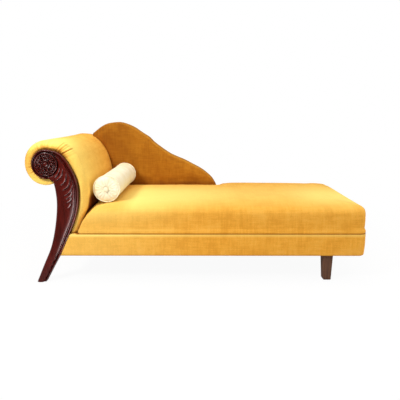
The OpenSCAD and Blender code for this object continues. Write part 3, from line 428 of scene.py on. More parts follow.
def chenille(name, body, bright, deep, pale, sheen):
    """Chenille velvet: cut pile on yarns 2 to 3 mm thick, in faint brushed clouds and streaks, with painted light and
    shade.
    """
    made, t, place = new_material(name)
    # brushed clouds 60 to 120 mm across; threads bunch into streaks 8 mm apart along the weft and the warp
    clouds = add(t, "TexNoise", {"Scale": 11.0, "Detail": 5.0, "Roughness": 0.60, "Vector": place})
    weft_way = add(t, "Mapping", {"Scale": (0.10, 1.0, 1.0), "Vector": place})
    warp_way = add(t, "Mapping", {"Scale": (1.0, 0.10, 0.10), "Vector": place})
    weft = add(t, "TexNoise", {"Scale": 130.0, "Detail": 2.0, "Roughness": 0.6, "Vector": weft_way})
    warp = add(t, "TexNoise", {"Scale": 110.0, "Detail": 2.0, "Roughness": 0.6, "Vector": warp_way})
    # yarns about 3 mm apart, drawn a little coarse so that they show, and loose fibre ends
    yarn = add(t, "TexVoronoi", {"Scale": 330.0, "Vector": place}, feature="F1")
    fibre = add(t, "TexNoise", {"Scale": 1100.0, "Detail": 2.0, "Vector": place})
    bunched = add(t, "Math", {0: weft, 1: warp}, operation="ADD")
    level = add(t, "Math", {0: bunched, 1: 0.55, 2: clouds}, operation="MULTIPLY_ADD")
    full = add(t, "MapRange", {0: level, "From Min": 0.75, "From Max": 1.40})
    tone = add(t, "ValToRGB", {0: full}, stops=((0.20, deep), (0.80, bright), (0.5, body)))
    # painted light: paler where a piece marks it
    light_mask = add(t, "Attribute", attribute_name="painted_light")
    paler = add(t, "Mix", {"Factor": light_mask.outputs["Fac"], "A": tone, "B": linear(pale)}, data_type="RGBA")
    gaps = add(t, "MapRange", {0: yarn.outputs["Distance"], "From Min": 0.1, "From Max": 0.75, "To Min": 1.03,
               "To Max": 0.90})
    woven = add(t, "VectorMath", {0: paler.outputs[2], "Scale": gaps}, operation="SCALE")
    # painted shade: where a piece marks it, the colour is painted darker and warmer
    shade_mask = add(t, "Attribute", attribute_name="painted_shade")
    hollow = add(t, "Mix", {"Factor": shade_mask.outputs["Fac"], "A": (1, 1, 1, 1), "B": (0.26, 0.10, 0.01, 1)},
                 data_type="RGBA")
    shaded = add(t, "VectorMath", {0: woven, 1: hollow.outputs[2]}, operation="MULTIPLY")
    height = add(t, "Math", {0: yarn.outputs["Distance"], 1: -1.2, 2: fibre}, operation="MULTIPLY_ADD")
    relief = add(t, "Bump", {"Strength": 0.28, "Distance": 0.0010, "Height": height})
    soft = add(t, "Bump", {"Strength": 0.15, "Distance": 0.003, "Height": clouds, "Normal": relief})
    cloth = add(t, "BsdfPrincipled", {"Roughness": 0.95, "Specular IOR Level": 0.15, "Sheen Weight": sheen,
                "Sheen Roughness": 0.4, "Sheen Tint": linear("ffe89a"), "Base Color": shaded, "Normal": soft})
    add(t, "OutputMaterial", {"Surface": cloth})
    return made


def points_of(piece):
    out = np.empty(len(piece.data.vertices) * 3)
    piece.data.vertices.foreach_get("co", out)
    return out.reshape(-1, 3)


def move_points(piece, co):
    piece.data.vertices.foreach_set("co", co.ravel())
    piece.data.update()


def waver(co, scale, shift):
    """Smooth noise from -1 to 1 at each point, with the points scaled and shifted first."""
    return np.array([noise.noise(Vector(p)) for p in co * scale + shift])


def normals_of(piece):
    out = np.empty(len(piece.data.vertices) * 3, np.float32)
    piece.data.vertex_normals.foreach_get("vector", out)
    return out.reshape(-1, 3).astype(float)


def mark(piece, name, values):
    """Write one number for each point, which the piece's finish reads."""
    held = piece.data.attributes.get(name) or piece.data.attributes.new(name, "FLOAT", "POINT")
    held.data.foreach_set("value", np.asarray(values, np.float32))


def smooth_step(value, low, high):
    t = np.clip((value - low) / (high - low), 0, 1)
    return t * t * (3 - 2 * t)


def paint_light_and_shade(piece, amount, painted_shade=None, upright=0.0):
    """Painted light: paler where the cloth faces up, by amount, else by upright; painted shade where it is given."""
    up = smooth_step(normals_of(piece)[:, 2], 0.10, 0.95)
    deep = np.zeros(len(up)) if painted_shade is None else np.clip(painted_shade, 0, 1)
    mark(piece, "painted_light", np.clip(amount * up + upright * (1 - up), 0, 1) * np.clip(1 - 1.6 * deep, 0, 1))
    mark(piece, "painted_shade", deep)


GOLD, GOLD_LIT, GOLD_DEEP, GOLD_PALE = "e9a439", "eeac44", "df9930", "fbe07c"
gold_upright = chenille("golden_chenille_on_upright_faces", GOLD, GOLD_LIT, GOLD_DEEP, GOLD_PALE, 0.05)
# how far in, and how high: from inside the seam, over the rolled edge, down the face and round under the rail
BASE_SECTION = [(0.020, 0.2590), (0.012, 0.2618), (0.0085, 0.2616), (0.0060, 0.2612), (0.0030, 0.2606),
                (0.0014, 0.2590), (0.0003, 0.2560), (0, 0.250), (-0.0005, 0.240), (-0.0012, 0.220), (-0.0015, 0.200),
                (-0.0012, 0.180), (-0.0006, 0.162), (0, 0.150), (0.0004, 0.1465), (0.0018, 0.1432), (0.0038, 0.1414),
                (0.0058, 0.1410), (LIP, 0.1414), (LIP + 0.0005, 0.1438), (0.030, 0.1439)]
rings = [[(x, y, z) for x, y in base_plan(z, inset)] for inset, z in BASE_SECTION]
verts, faces = loft(rings)
base = make_piece("base_boxing_cover", verts, faces, gold_upright)
co, no = points_of(base), normals_of(base)
x, y, z = co.T
face_zone = np.clip((z - 0.146) / 0.02, 0, 1) * np.clip((0.254 - z) / 0.02, 0, 1)
face_zone *= np.clip((x + 0.62) / 0.05, 0, 1)
co += no * (0.0012 * waver(co, (7, 7, 11), (3, 0, 0)) * face_zone)[:, None]
x += 0.0060 * smooth_step(x, 0.78, 0.895) * np.clip((z - 0.150) / 0.110, 0, 1)
move_points(base, co)
# painted shade in the seam under the seat and where the cloth turns under; painted light on the top lip and towards
# the head
in_seam = 0.9 * smooth_step(z, 0.2580, 0.2596) * (0.3 + 0.7 * smooth_step(x, -0.635, -0.622))
lip = smooth_step(z, 0.2460, 0.2530)
to_head = smooth_step(-x, -0.10, 0.60)
turned_under = 0.4 * smooth_step(-z, -0.1520, -0.1420)
paint_light_and_shade(base, 0.30 + 0.6 * to_head, np.maximum(turned_under, in_seam),
        0.27 * to_head + (0.50 + 0.35 * to_head) * lip)
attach(base, "couch")
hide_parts("base_cover", "base_foam")

# Seat ----------------------------------------------------------------------------------------------------
# One long tight seat: foam and wadding on a webbed plywood frame, under a boxed golden chenille cover that
# swells softly over its edges. Its head end follows the arm, and its back edge meets the hump.
ARM_INNER = [(1, 0), (1.16, .153), (1.29, .262), (1.345, .388), (1.326, .5), (1.235, .64), (1.13, .735), (1.02, .81),
             (.87, .88), (.66, .945), (.4, .987), (0, 1), (-.125, .9964)]
ARM_OUTER = [(.43, .482), (.487, .4), (.49, .28), (.455, .13), (.425, 0)]
ROLL, ROLL_R = (-0.785, 0.632), 0.115
SEAT_Z, CROWN = 0.262, 0.012
BACK_X1, BACK_Y0 = 0.140, 0.284
ARM_GAP, BACK_GAP = 0.0007, 0.0016
arm_inner = spline([(ROLL[0] + a * 0.160, SEAT_Z + b * 0.485) for a, b in ARM_INNER], 16)[:-16]
arm_side = arm_inner[:70]
arm_outer = spline([(ROLL[0] + a * 0.160, SEAT_Z + b * 0.485) for a, b in ARM_OUTER], 10)


def seat_plan(z, inset, foot_share=1.0):
    """The seat's outline at a height, moved inwards, round its front, foot, back and head ends."""
    x0 = x_on(arm_side, z) + ARM_GAP + inset
    x1, y0, y1 = X_FOOT - inset * foot_share, SEAT_Y0 + inset, Y_BACK - inset
    r, rh, rr = max(0.040 - inset, 0.008), max(0.016 - inset, 0.006), max(0.055 - inset, 0.006)
    xn, yn = BACK_X1 + BACK_GAP + inset, BACK_Y0 - BACK_GAP - inset
    return (arc((x0 + rh, y0 + rh), rh, 180, 270, 8) + arc((x1 - r, y0 + r), r, 270, 360, 8)
            + arc((x1 - rr, y1 - rr), rr, 0, 90, 8) + arc((xn + 0.004, y1 - 0.004), 0.004, 90, 180, 3)
            + [(xn, yn)] + arc((x0 + 0.004, yn - 0.004), 0.004, 90, 180, 3))


def nearest(line, p):
    """From each point to a line of points: how far, how far on its left, how far along it, and its left there."""
    line = np.asarray(line, float)
    best, side, share, left = np.full(len(p), 1e9), np.zeros(len(p)), np.zeros(len(p)), np.zeros((len(p), 2))
    for s, (a, d) in enumerate(zip(line, np.diff(line, axis=0))):
        n = np.array([-d[1], d[0]]) / max(np.hypot(*d), 1e-9)
        t = np.clip(((p - a) @ d) / max(d @ d, 1e-12), 0, 1)
        off = p - a - t[:, None] * d
        far = np.hypot(off[:, 0], off[:, 1])
        nearer = far < best
        best[nearer], side[nearer], left[nearer] = far[nearer], (off @ n)[nearer], n
        share[nearer] = (s + t[nearer]) / (len(line) - 1)
    return best, side, share, left


def swell(piece, voxel, pressure, cap, held):
    """Blow the sewn cover up with air, hold it where it is fixed, and stop each point once it has moved by cap."""
    bake(piece, "REMESH", mode="VOXEL", voxel_size=voxel)
    start = points_of(piece)
    pins = piece.vertex_groups.new(name="held")
    pins.add([int(i) for i in np.nonzero(held(start))[0]], 1.0, "REPLACE")
    air = piece.modifiers.new("air", "CLOTH")
    air.settings.quality = 4
    air.settings.mass = 0.25
    air.settings.tension_stiffness = air.settings.compression_stiffness = 15.0
    air.settings.use_pressure = True
    air.settings.uniform_pressure_force = pressure
    air.settings.effector_weights.gravity = 0
    air.settings.vertex_group_mass = "held"
    air.collision_settings.use_collision = False
    air.collision_settings.use_self_collision = False
    air.point_cache.frame_end = 20
    for step in range(1, 21):
        scene.frame_set(step)
    blown = np.empty(len(start) * 3)
    piece.evaluated_get(bpy.context.evaluated_depsgraph_get()).data.vertices.foreach_get("co", blown)
    piece.modifiers.remove(air)
    piece.vertex_groups.clear()
    scene.frame_set(1)
    moved = blown.reshape(-1, 3) - start
    length = np.maximum(np.linalg.norm(moved, axis=1), 1e-9)
    move_points(piece, start + moved * np.minimum(1, cap / length)[:, None])
    smooth_faces(piece.data)
    bake(piece, "SUBSURF", levels=1, render_levels=1)


gold_seat = chenille("golden_chenille_with_its_nap_to_the_foot", GOLD, GOLD_LIT, GOLD_DEEP, GOLD_PALE, 0.05)
UNDER, ROUND = 0.0012, 0.044
levels = [(0.2626, 0.030), (0.2626, 0.004)] + [(z, UNDER) for z in (0.266, 0.28, 0.30, 0.32, 0.34, 0.352)]
rings = [[(x, y, z) for x, y in seat_plan(z, inset)] for z, inset in levels]
for k in range(1, 9):
    turn = math.radians(90 * k / 8)
    z = 0.358 + ROUND * math.sin(turn)
    rings.append([(x, y, z) for x, y in seat_plan(z, UNDER + ROUND * (1 - math.cos(turn)), 0.55)])
crown_foot = seat_plan(0.402, UNDER + ROUND, 0.55)
SEAT_MID = BACK_X1 + 0.040
for share in (0.94, 0.85, 0.7, 0.5, 0.3, 0.12):
    rings.append([(SEAT_MID + (x - SEAT_MID) * share, y * share, 0.402 + CROWN * (1 - share * share))
                  for x, y in crown_foot])
verts, faces = loft(rings)
seat = make_piece("seat_cover_filled", verts, faces, gold_seat)


def seat_held(p):
    """Points along the seam, the arm and the back stay where they are."""
    x, y, z = p.T
    side = x_on(arm_side, z)
    by_back = (x < BACK_X1 + 0.012) & (y > BACK_Y0 - 0.014)
    by_end = (y > BACK_Y0) & (x < BACK_X1 + 0.014)
    by_arm = (x < side + 0.012) & (y > SEAT_Y0 + 0.05) & (z < 0.372)
    return (z < 0.272) | by_back | by_end | by_arm


swell(seat, 0.010, 4.0, 0.006, seat_held)
co = points_of(seat)
x, y, z = co.T
# the front corner by the arm is drawn down and round
corner = smooth_step(-x, 0.50, 0.59) * smooth_step(-y, 0.20, 0.33)
high = smooth_step(z, 0.30, 0.40)
z -= 0.017 * corner * high
head = smooth_step(-x, 0.54, 0.60) * high
z -= 0.008 * head
# slack in the cover: long low waves on the top, faint pulls down the front
top = smooth_step(z, 0.390, 0.405)
front = smooth_step(-y, 0.322, 0.334)
front *= smooth_step(z, 0.266, 0.29) * smooth_step(-z, -0.385, -0.35)
z += top * 0.0016 * waver(co, (5, 5, 0), (0, 0, 2))
y -= front * 0.0014 * waver(co, (9, 0, 6), (0, 5, 0))
# the lower edge is drawn tight round the seat frame and meets the rolled edge of the base
low = np.nonzero(z < 0.286)[0]
seam_line = seat_plan(0.2640, 0.0)
_, depth_in, _, way_in = nearest(seam_line + seam_line[:1], co[low][:, :2])
tight = 0.0005 + 0.0014 * np.clip(depth_in / 0.0085, 0, 1) ** 2 + np.maximum(depth_in - 0.0085, 0) * 1.31
held_in = (1 - smooth_step(z[low], 0.270, 0.286)) * (depth_in < 0.030)
co[low, :2] += way_in * ((tight - depth_in) * held_in)[:, None]
z[low] -= 0.0070 * np.clip((0.2720 - z[low]) / 0.0095, 0, 1) * np.clip((0.020 - depth_in) / 0.010, 0, 1)
# it stands out a little over the foot end and drops at the rear corner
x += (0.0060 + 0.0035 * smooth_step(z, 0.262, 0.330)) * smooth_step(x, 0.66, 0.895)
rear_corner = smooth_step(x, 0.78, 0.90) * smooth_step(y, 0.20, 0.34)
z -= 0.007 * rear_corner * smooth_step(z, 0.33, 0.40)
# the bolster rests on the seat: the cover stays just under its round side
rest_low, rest_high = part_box("bolster_cover")
rest_r = (rest_high.z - rest_low.z) / 2
away = np.minimum(np.abs(x - (rest_low.x + rest_high.x) / 2), rest_r * 0.98)
under = rest_low.z - 0.0004 + rest_r - np.sqrt(rest_r ** 2 - away ** 2)
limit = 0.4190 - 0.0117 * np.clip(np.abs(x - SEAT_MID) / 0.74, 0, 1) ** 2
z[:] = np.clip(z, 0.2588, np.minimum(limit, np.where(away < rest_r * 0.98, under, 0.5)))
move_points(seat, co)
# painted light: palest at the head end and towards the front of the top; painted shade by the rear edge, arm and seam
by_length = np.interp(x, [-0.6, -0.42, -0.33, -0.05, 0.25, 0.50, 0.70, 0.9],
                      [0.6, 0.45, 1.0, 0.78, 0.46, 0.46, 0.82, 0.88])
further = np.interp(x, [-0.30, -0.10, 0.15], [0.085, 0.035, 0.0]) * smooth_step(-y, 0.0, 0.15)
by_depth = np.interp(y + further, [-0.335, -0.29, -0.24, -0.17, -0.08, 0.0, 0.15, 0.25, 0.33],
                     [0.15, 0.32, 0.60, 0.90, 1.0, 0.90, 0.50, 0.25, 0.0])
to_head = smooth_step(-x, -0.10, 0.60)
rear_edge = 0.22 * smooth_step(y, 0.300, 0.345)
by_arm = 0.95 * smooth_step(-x, 0.560, 0.596) * smooth_step(y, -0.290, -0.255) * smooth_step(z, 0.34, 0.38)
in_seam = 0.92 * smooth_step(-z, -0.2650, -0.2612)
paint_light_and_shade(seat, by_length * by_depth, np.max([rear_edge, by_arm, in_seam], axis=0),
        0.26 * to_head + (0.06 + 0.30 * to_head) * smooth_step(z, 0.30, 0.395))
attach(seat, "couch")
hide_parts("seat_cover", "seat_wadding", "seat_foam")

# Head arm ------------------------------------------------------------------------------------------------
# A tall arm that rolls outwards: foam over bent plywood, covered in one width of golden chenille. On the
# front the cloth is gathered by hand round the carved roundel, tight on the roll and flat down the stem.
# the roll is full for its first steps from the top, and thins from there down its outside
EDGE_R, ROLL_STEPS, FULL_STEPS = 0.036, 190, 76
arm_line = np.array(arm_inner + arc(ROLL, ROLL_R, 90, 295, ROLL_STEPS)[1:] + arm_outer[1:])
along = np.gradient(arm_line, axis=0)
along /= np.linalg.norm(along, axis=1)[:, None]
inward = np.stack([-along[:, 1], along[:, 0]], axis=1)
inward[0] = inward[-1] = (0, 0)
inward[0, 0], inward[-1, 0] = -1, 1
past_full = np.arange(len(arm_line)) - len(arm_inner) - FULL_STEPS
fullness = 1 - 0.82 * np.clip(past_full / (ROLL_STEPS - FULL_STEPS), 0, 1)


def inside(outline, p):
    """Which points lie inside a closed outline."""
    hit = np.zeros(len(p), bool)
    x0, z0 = outline[-1]
    for x1, z1 in outline:
        crosses = ((z0 > p[:, 1]) != (z1 > p[:, 1]))
        with np.errstate(divide="ignore", invalid="ignore"):
            hit ^= crosses & (p[:, 0] < (x1 - x0) * (p[:, 1] - z0) / (z1 - z0) + x0)
        x0, z0 = x1, z1
    return hit


board_line = scroll_right[:-1] + arc(ROUNDEL, ROUNDEL_R, 90, 285, 80) + scroll_left
# painted light: a brighter copy of the golden chenille for the arm
gold_arm = chenille("golden_chenille_painted_brighter_on_the_arm", "fbb747", "ffc051", "f2a939", "ffe67a", 0.05)
# each section lies (a * f + b) in from the arm's line and (c * f + d) back, where f is how full the arm is there
FACE_STEPS, EDGE_STEPS, RUN_STEPS, ARM_RUN = 22, 12, 44, 0.6585
sections = [(EDGE_R + s * 0.022, s * 0.010, 0, 0) for s in (1 - k / FACE_STEPS for k in range(FACE_STEPS))]
sections += [(EDGE_R * (1 - math.cos(a)), 0, EDGE_R * (1 - math.sin(a)), 0)
             for a in (math.radians(90 * (1 - k / EDGE_STEPS)) for k in range(EDGE_STEPS + 1))]
sections += [(0, 0, EDGE_R * (1 - s), s * ARM_RUN) for s in (k / RUN_STEPS for k in range(1, RUN_STEPS + 1))]
sections = np.array(sections + [(0, 0.0006, 0, 0.6590), (0, 0.006, 0, 0.6592)])
insets = fullness[:, None] * sections[:, 0] + sections[:, 1]
grid = np.zeros(insets.shape + (3,))
grid[:, :, [0, 2]] = arm_line[:, None] + inward[:, None] * insets[:, :, None]
grid[:, :, 1] = ARM_Y0 + fullness[:, None] * sections[:, 2] + sections[:, 3]


def push_in(amount):
    """Move the arm's points inwards, each by its own amount."""
    grid[:, :, [0, 2]] += inward[:, None] * amount[:, :, None]


def off_board(p):
    """How far each point lies from the outline of the scroll leg's board, below zero inside it."""
    apart = nearest(board_line + board_line[:1], p[:, [0, 2]])[0]
    return np.where(inside(board_line, p[:, [0, 2]]), -apart, apart)


flat = grid.reshape(-1, 3)
apart = off_board(flat)
angle = np.degrees(np.arctan2(flat[:, 2] - ROUNDEL[1], flat[:, 0] - ROUNDEL[0])) % 360
on_front = smooth_step(-(flat[:, 1] - ARM_Y0), -0.030, -0.0)
# gathers: each is a valley that runs out from the roundel; the tuft by the upper right is drawn hardest
gathers = np.zeros(len(flat))
TUFTS = ((1.0, 40, 20), (0.55, 190, 30), (0.35, 105, 30))
turn, index = 18.0, 0
while turn < 252:
    wobble = noise.noise(Vector((index * 1.7, 4.0, 0.5)))
    strong = sum(force * math.exp(-((turn - centre) / spread) ** 2) for force, centre, spread in TUFTS)
    depth = 0.0007 + 0.0034 * strong * (0.65 + 0.7 * abs(wobble))
    reach = 0.016 + 0.030 * strong * (0.6 + 0.8 * abs(noise.noise(Vector((index * 2.3, 1.0, 7.0)))))
    across = np.radians((angle - turn + 180) % 360 - 180) * (ROUNDEL_R + np.maximum(apart, 0))
    across += 0.25 * np.maximum(apart, 0) * wobble
    gathers += depth * np.exp(-(across / 0.0028) ** 2) * np.exp(-np.maximum(apart, 0) / reach) * (apart > -0.02)
    turn += 5.2 + 2.6 * wobble - 1.2 * math.exp(-((turn - 40) / 16) ** 2)
    index += 1
puff = 0.0170 * smooth_step(apart, -0.004, 0.012) * on_front
roll_zone = smooth_step(flat[:, 2], 0.50, 0.58)
flat[:, 1] -= puff * (0.95 - 0.45 * roll_zone)
flat[:, 1] += gathers * roll_zone * on_front * smooth_step(apart, -0.002, 0.003)
shrink = gathers * roll_zone * (1 - on_front) * np.exp(-np.maximum(flat[:, 1] - ARM_Y0 - EDGE_R, 0) / 0.02)
grid = flat.reshape(grid.shape)
shrink = shrink.reshape(grid.shape[:2])
push_in(shrink)
# the cloth lies a little slack along the roll's length
slack = np.array([waver(row, (6, 5, 6), (0, 0, 9)) for row in grid[::4]])
slack = np.stack([np.interp(np.arange(len(grid)), np.arange(0, len(grid), 4), column) for column in slack.T], 1)
rear_fade = smooth_step(-grid[:, :, 1], -0.33, -0.25) * smooth_step(grid[:, :, 1], -0.30, -0.24)
free = smooth_step(grid[:, :, 2], 0.40, 0.46) * rear_fade
push_in(0.0012 * free * (slack + 1))
# and swells a little over the front of the roll
y, z = grid[:, :, 1], grid[:, :, 2]
push_in(-0.0045 * smooth_step(z, 0.56, 0.68) * smooth_step(y, ARM_Y0, -0.27) * smooth_step(-y, -0.12, 0.16))
rows, cols = grid.shape[:2]
faces = [(i * cols + j, (i + 1) * cols + j, (i + 1) * cols + j + 1, i * cols + j + 1)
         for i in range(rows - 1) for j in range(cols - 1)]
faces.append(tuple(i * cols for i in range(rows)))
faces.append(tuple(i * cols + cols - 1 for i in range(rows - 1, -1, -1)))
faces.append(tuple(range(cols)) + tuple((rows - 1) * cols + j for j in range(cols - 1, -1, -1)))
arm = make_piece("arm_cover_filled", grid.reshape(-1, 3), faces, gold_arm)
co = points_of(arm)
apart = off_board(co)
x, y, z = co.T
# painted shade: darker beside the wood, in the gathers, along the foot, by the seat and down the roll's outer side
on_roll = smooth_step(z, 0.50, 0.56)
on_face = smooth_step(-(y - ARM_Y0), -0.03, 0.0)
near_board = smooth_step(-apart / (0.0030 + 0.0070 * on_roll), -1.0, 0.2) * on_face
low_crease = smooth_step(-z, -0.2645, -0.262) * 0.6
pinched = 0.85 * np.clip(gathers / 0.0030, 0, 1) * roll_zone * smooth_step(-(y - ARM_Y0), -0.07, -0.03)
beside_seat = 0.95 * smooth_step(-z, -0.470, -0.425) * smooth_step(y, -0.288, -0.258) * smooth_step(x, -0.70, -0.66)
roll_side = np.maximum(0.28 * smooth_step(-x, 0.840, 0.890), 0.09 * on_roll * smooth_step(y, -0.27, 0.0))
beside_wood = (0.03 + 0.5 * on_roll * smooth_step(-x, 0.70, 0.76)) * near_board
shade_mask = np.max([beside_wood, low_crease, pinched, beside_seat, roll_side], axis=0)
# painted light: paler at the front, fading towards the back
by_depth = np.interp(y, [-0.31, -0.24, -0.08, 0.08, 0.20, 0.30], [0.95, 0.90, 0.55, 0.30, 0.10, 0.0])
by_height = np.interp(z, [0.40, 0.52, 0.62, 0.69], [0.50, 0.47, 0.42, 0.20])
paint_light_and_shade(arm, by_depth, shade_mask, by_depth * (by_height + 0.14 * on_roll * smooth_step(apart, 0.010, 0.036)))
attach(arm, "couch")
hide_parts("arm_cover", "arm_foam")

# The arm's rear panel is a flat padded board, slip-stitched round its edge over the raw end of the cover.
PANEL_EDGE = [(0, 0.3473), (0.00018, 0.3484), (0.00126, 0.3494), (0.0036, 0.3500), (0.009, 0.3502), (0.0144, 0.3503)]
verts, faces = loft([[(q[0], y, q[1]) for q in arm_line[::2] + inward[::2] * inset] for inset, y in PANEL_EDGE])
arm_panel = make_piece("arm_rear_panel_cover", verts, faces, gold_upright)
# painted light where the panel faces up
paint_light_and_shade(arm_panel, 0.4)
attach(arm_panel, "couch")
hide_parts("arm_rear_panel")

# Carved scroll leg ---------------------------------------------------------------------------------------
# One mahogany board, sawn to a scroll that sweeps from the foot up and round the roundel, then carved: a
# convex body, a beaded rim along its outer edge and a row of crescents below the roundel. French polished.
BOARD_BACK, BOARD_FACE = -0.3123, -0.3365
DISC_R = 0.0622


def french_polish(name, body, light, dark, rough, coat):
    """Polished mahogany: deep red brown, with a hard clear shine over close ribbon grain."""
    made, t, place = new_material(name)
    grain = add(t, "Mapping", {"Scale": (1.0, 1.0, 0.10), "Vector": place})
    # ribbons about 6 mm wide, pores under 1 mm
    ribbon = add(t, "TexNoise", {"Scale": 55.0, "Detail": 5.0, "Roughness": 0.62, "Vector": grain})
    pores = add(t, "TexNoise", {"Scale": 800.0, "Detail": 2.0, "Vector": grain})
    tone = add(t, "ValToRGB", {0: ribbon}, stops=((0.32, dark), (0.70, light), (0.5, body)))
    # stain gathers in the cuts; the crests are painted lighter, a painted highlight
    cut = add(t, "Attribute", attribute_name="cut")
    stain_and_highlight = add(t, "MapRange", {0: cut.outputs["Fac"], "From Min": -1.0, "To Min": 2.25, "To Max": 0.25})
    stained = add(t, "VectorMath", {0: tone, "Scale": stain_and_highlight}, operation="SCALE")
    gloss = add(t, "MapRange", {0: ribbon, "From Min": 0.3, "From Max": 0.7, "To Min": rough,
                "To Max": rough + 0.14})
    relief = add(t, "Bump", {"Strength": 0.12, "Distance": 0.0004, "Height": pores})
    wood = add(t, "BsdfPrincipled", {"IOR": 1.45, "Specular IOR Level": 0.12, "Coat Weight": coat,
               "Coat Roughness": 0.26, "Coat IOR": 1.5, "Base Color": stained, "Roughness": gloss, "Normal": relief})
    add(t, "OutputMaterial", {"Surface": wood})
    return made


mahogany = french_polish("french_polished_mahogany", "440903", "530d04", "330702", 0.34, 0.5)


def evenly(outline, pitch):
    """The same closed outline with its points a set distance apart."""
    line = np.asarray(list(outline) + [outline[0]], float)
    length = np.concatenate([[0], np.cumsum(np.linalg.norm(np.diff(line, axis=0), axis=1))])
    at = np.linspace(0, length[-1], int(round(length[-1] / pitch)) + 1)[:-1]
    return np.stack([np.interp(at, length, line[:, 0]), np.interp(at, length, line[:, 1])], 1)


CARVE_PITCH = 0.0019
rim_line = evenly(board_line, CARVE_PITCH)
xs = np.arange(rim_line[:, 0].min(), rim_line[:, 0].max(), CARVE_PITCH)
zs = np.arange(rim_line[:, 1].min(), rim_line[:, 1].max(), CARVE_PITCH * 0.866)
field = np.array([(x + (CARVE_PITCH / 2 if k % 2 else 0), z) for k, z in enumerate(zs) for x in xs])
field = field[inside([tuple(q) for q in rim_line], field)]
field = field[nearest(np.vstack([rim_line, rim_line[:1]]), field)[0] > CARVE_PITCH * 0.6]
spots = np.vstack([rim_line, field])
rim = [list(range(len(rim_line)))]
flat_verts, _, flat_faces, *_ = delaunay_2d_cdt([Vector(q) for q in spots], [], rim, 1, 1e-7)
spot = np.array([tuple(v) for v in flat_verts])
outer_edge = nearest(scroll_right[:-1] + arc(ROUNDEL, ROUNDEL_R, 90, 262, 80), spot)[0]
left_edge = nearest(scroll_left, spot)[0]
from_hub = np.linalg.norm(spot - np.array(ROUNDEL), axis=1)
inner_edge = np.minimum(left_edge, np.abs(from_hub - DISC_R))
width = outer_edge + inner_edge
across = outer_edge / np.maximum(width, 1e-6)
# the rim: a bead, a groove and a small second bead along the outer edge, finer towards the foot
RIM_WIDTH, GROOVE_DEPTH, CREST_RISE, VALLEY_DEPTH = 0.0185, 0.0026, 0.0042, 0.0030
fine = 0.55 + 0.45 * smooth_step(spot[:, 1], 0.02, 0.30)
d = outer_edge / fine
bead = np.sqrt(np.clip(1 - ((d - 0.0048) / 0.0046) ** 2, 0, 1)) * 0.0042
bead += np.sqrt(np.clip(1 - ((d - 0.0152) / 0.0027) ** 2, 0, 1)) * 0.0022
groove = GROOVE_DEPTH * np.exp(-((d - 0.0110) / 0.0016) ** 2) + 0.0016 * np.exp(-((d - 0.0190) / 0.0013) ** 2)
body_share = np.clip((d - RIM_WIDTH) / np.maximum(width / fine - RIM_WIDTH, 0.004), 0, 1)
swelling = np.minimum(0.0104, 0.21 * width)
body = swelling * np.sqrt(np.clip(1 - (2 * body_share - 0.92) ** 2, 0, 1)) ** 1.15 * (d > RIM_WIDTH)
# crescents: overlapping scales that start at the roundel and fade down the belly
CRESCENTS = [((-.6985, .615), (-.7060, .588), (-.7275, .562), 1.0),
             ((-.6855, .610), (-.6925, .573), (-.7215, .547), 1.0),
             ((-.6675, .585), (-.6755, .545), (-.7025, .520), 1.0),
             ((-.6485, .565), (-.6575, .522), (-.6935, .494), 1.0),
             ((-.6395, .525), (-.6495, .492), (-.6815, .469), 0.95),
             ((-.6415, .489), (-.6505, .466), (-.6775, .451), 0.8),
             ((-.6445, .459), (-.6515, .444), (-.6705, .433), 0.65),
             ((-.6495, .428), (-.6555, .413), (-.6665, .405), 0.45)]
crest, valley = np.zeros(len(spot)), np.zeros(len(spot))
for top_end, middle_point, low_end, force in CRESCENTS:
    best, side, share, _ = nearest(spline([top_end, middle_point, low_end], 8), spot)
    ends = np.clip(np.minimum(share, 1 - share) * 5, 0.15, 1)
    signed = best * np.sign(side)
    slope = np.where(signed > 0, signed / 0.0022, -signed / 0.0062)
    crest = np.maximum(crest, force * ends * CREST_RISE * np.exp(-slope ** 2))
    valley = np.maximum(valley, force * ends * VALLEY_DEPTH * np.exp(-((signed - 0.0056) / 0.0022) ** 2))
disc = from_hub < DISC_R
carving = np.where(disc, -0.0047, 0) + np.where(disc, 0, bead - groove + body + crest - valley)
rounding = np.clip(np.minimum(outer_edge, np.where(disc, 1, left_edge)) / 0.003, 0, 1)
carving -= 0.0030 * (1 - np.sqrt(1 - (1 - rounding) ** 2))
carving = np.where(disc, np.minimum(carving, 0.0), carving)
face_y = np.maximum(BOARD_FACE - carving, -0.3499)
face_y = np.where(disc, -0.3408, face_y)
mesh = bpy.data.meshes.new("scroll_leg_carved")
mesh.from_pydata([(q[0], y, q[1]) for q, y in zip(spot, face_y)], [], [tuple(f) for f in flat_faces])
cutting = bmesh.new()
cutting.from_mesh(mesh)
cut_layer = cutting.verts.layers.float.new("cut")
disc_edge = smooth_step(-np.abs(from_hub - DISC_R), -0.003, -0.0008)
# stain marked in the grooves, valleys and round the disc; painted highlight: the crescent crests are marked lighter
hollow = np.clip(groove / GROOVE_DEPTH + valley / VALLEY_DEPTH + disc_edge, 0, 1)
hollow = np.maximum(hollow, 0.75 * disc) - 0.9 * np.clip(crest / CREST_RISE, 0, 1) * ~disc
for v, depth in zip(cutting.verts, hollow):
    v[cut_layer] = float(depth)
bmesh.ops.recalc_face_normals(cutting, faces=cutting.faces)
for y in (-0.3330, -0.3150, BOARD_BACK):
    border = [e for e in cutting.edges if e.is_boundary]
    grown = bmesh.ops.extrude_edge_only(cutting, edges=border)["geom"]
    for v in grown:
        if isinstance(v, bmesh.types.BMVert):
            v.co.y = y
            # the sawn sides are marked a little darker than the carved face
            v[cut_layer] = 0.35
bmesh.ops.edgeloop_fill(cutting, edges=[e for e in cutting.edges if e.is_boundary])
bmesh.ops.recalc_face_normals(cutting, faces=cutting.faces)
cutting.to_mesh(mesh)
cutting.free()
mesh.polygons.foreach_set("use_smooth", [len(f.vertices) < 12 for f in mesh.polygons])
mesh.materials.append(mahogany)
scroll_leg = put("scroll_leg_carved", mesh)
bake(scroll_leg, "EDGE_SPLIT", split_angle=math.radians(62))
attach(scroll_leg, "couch")
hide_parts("scroll_leg")

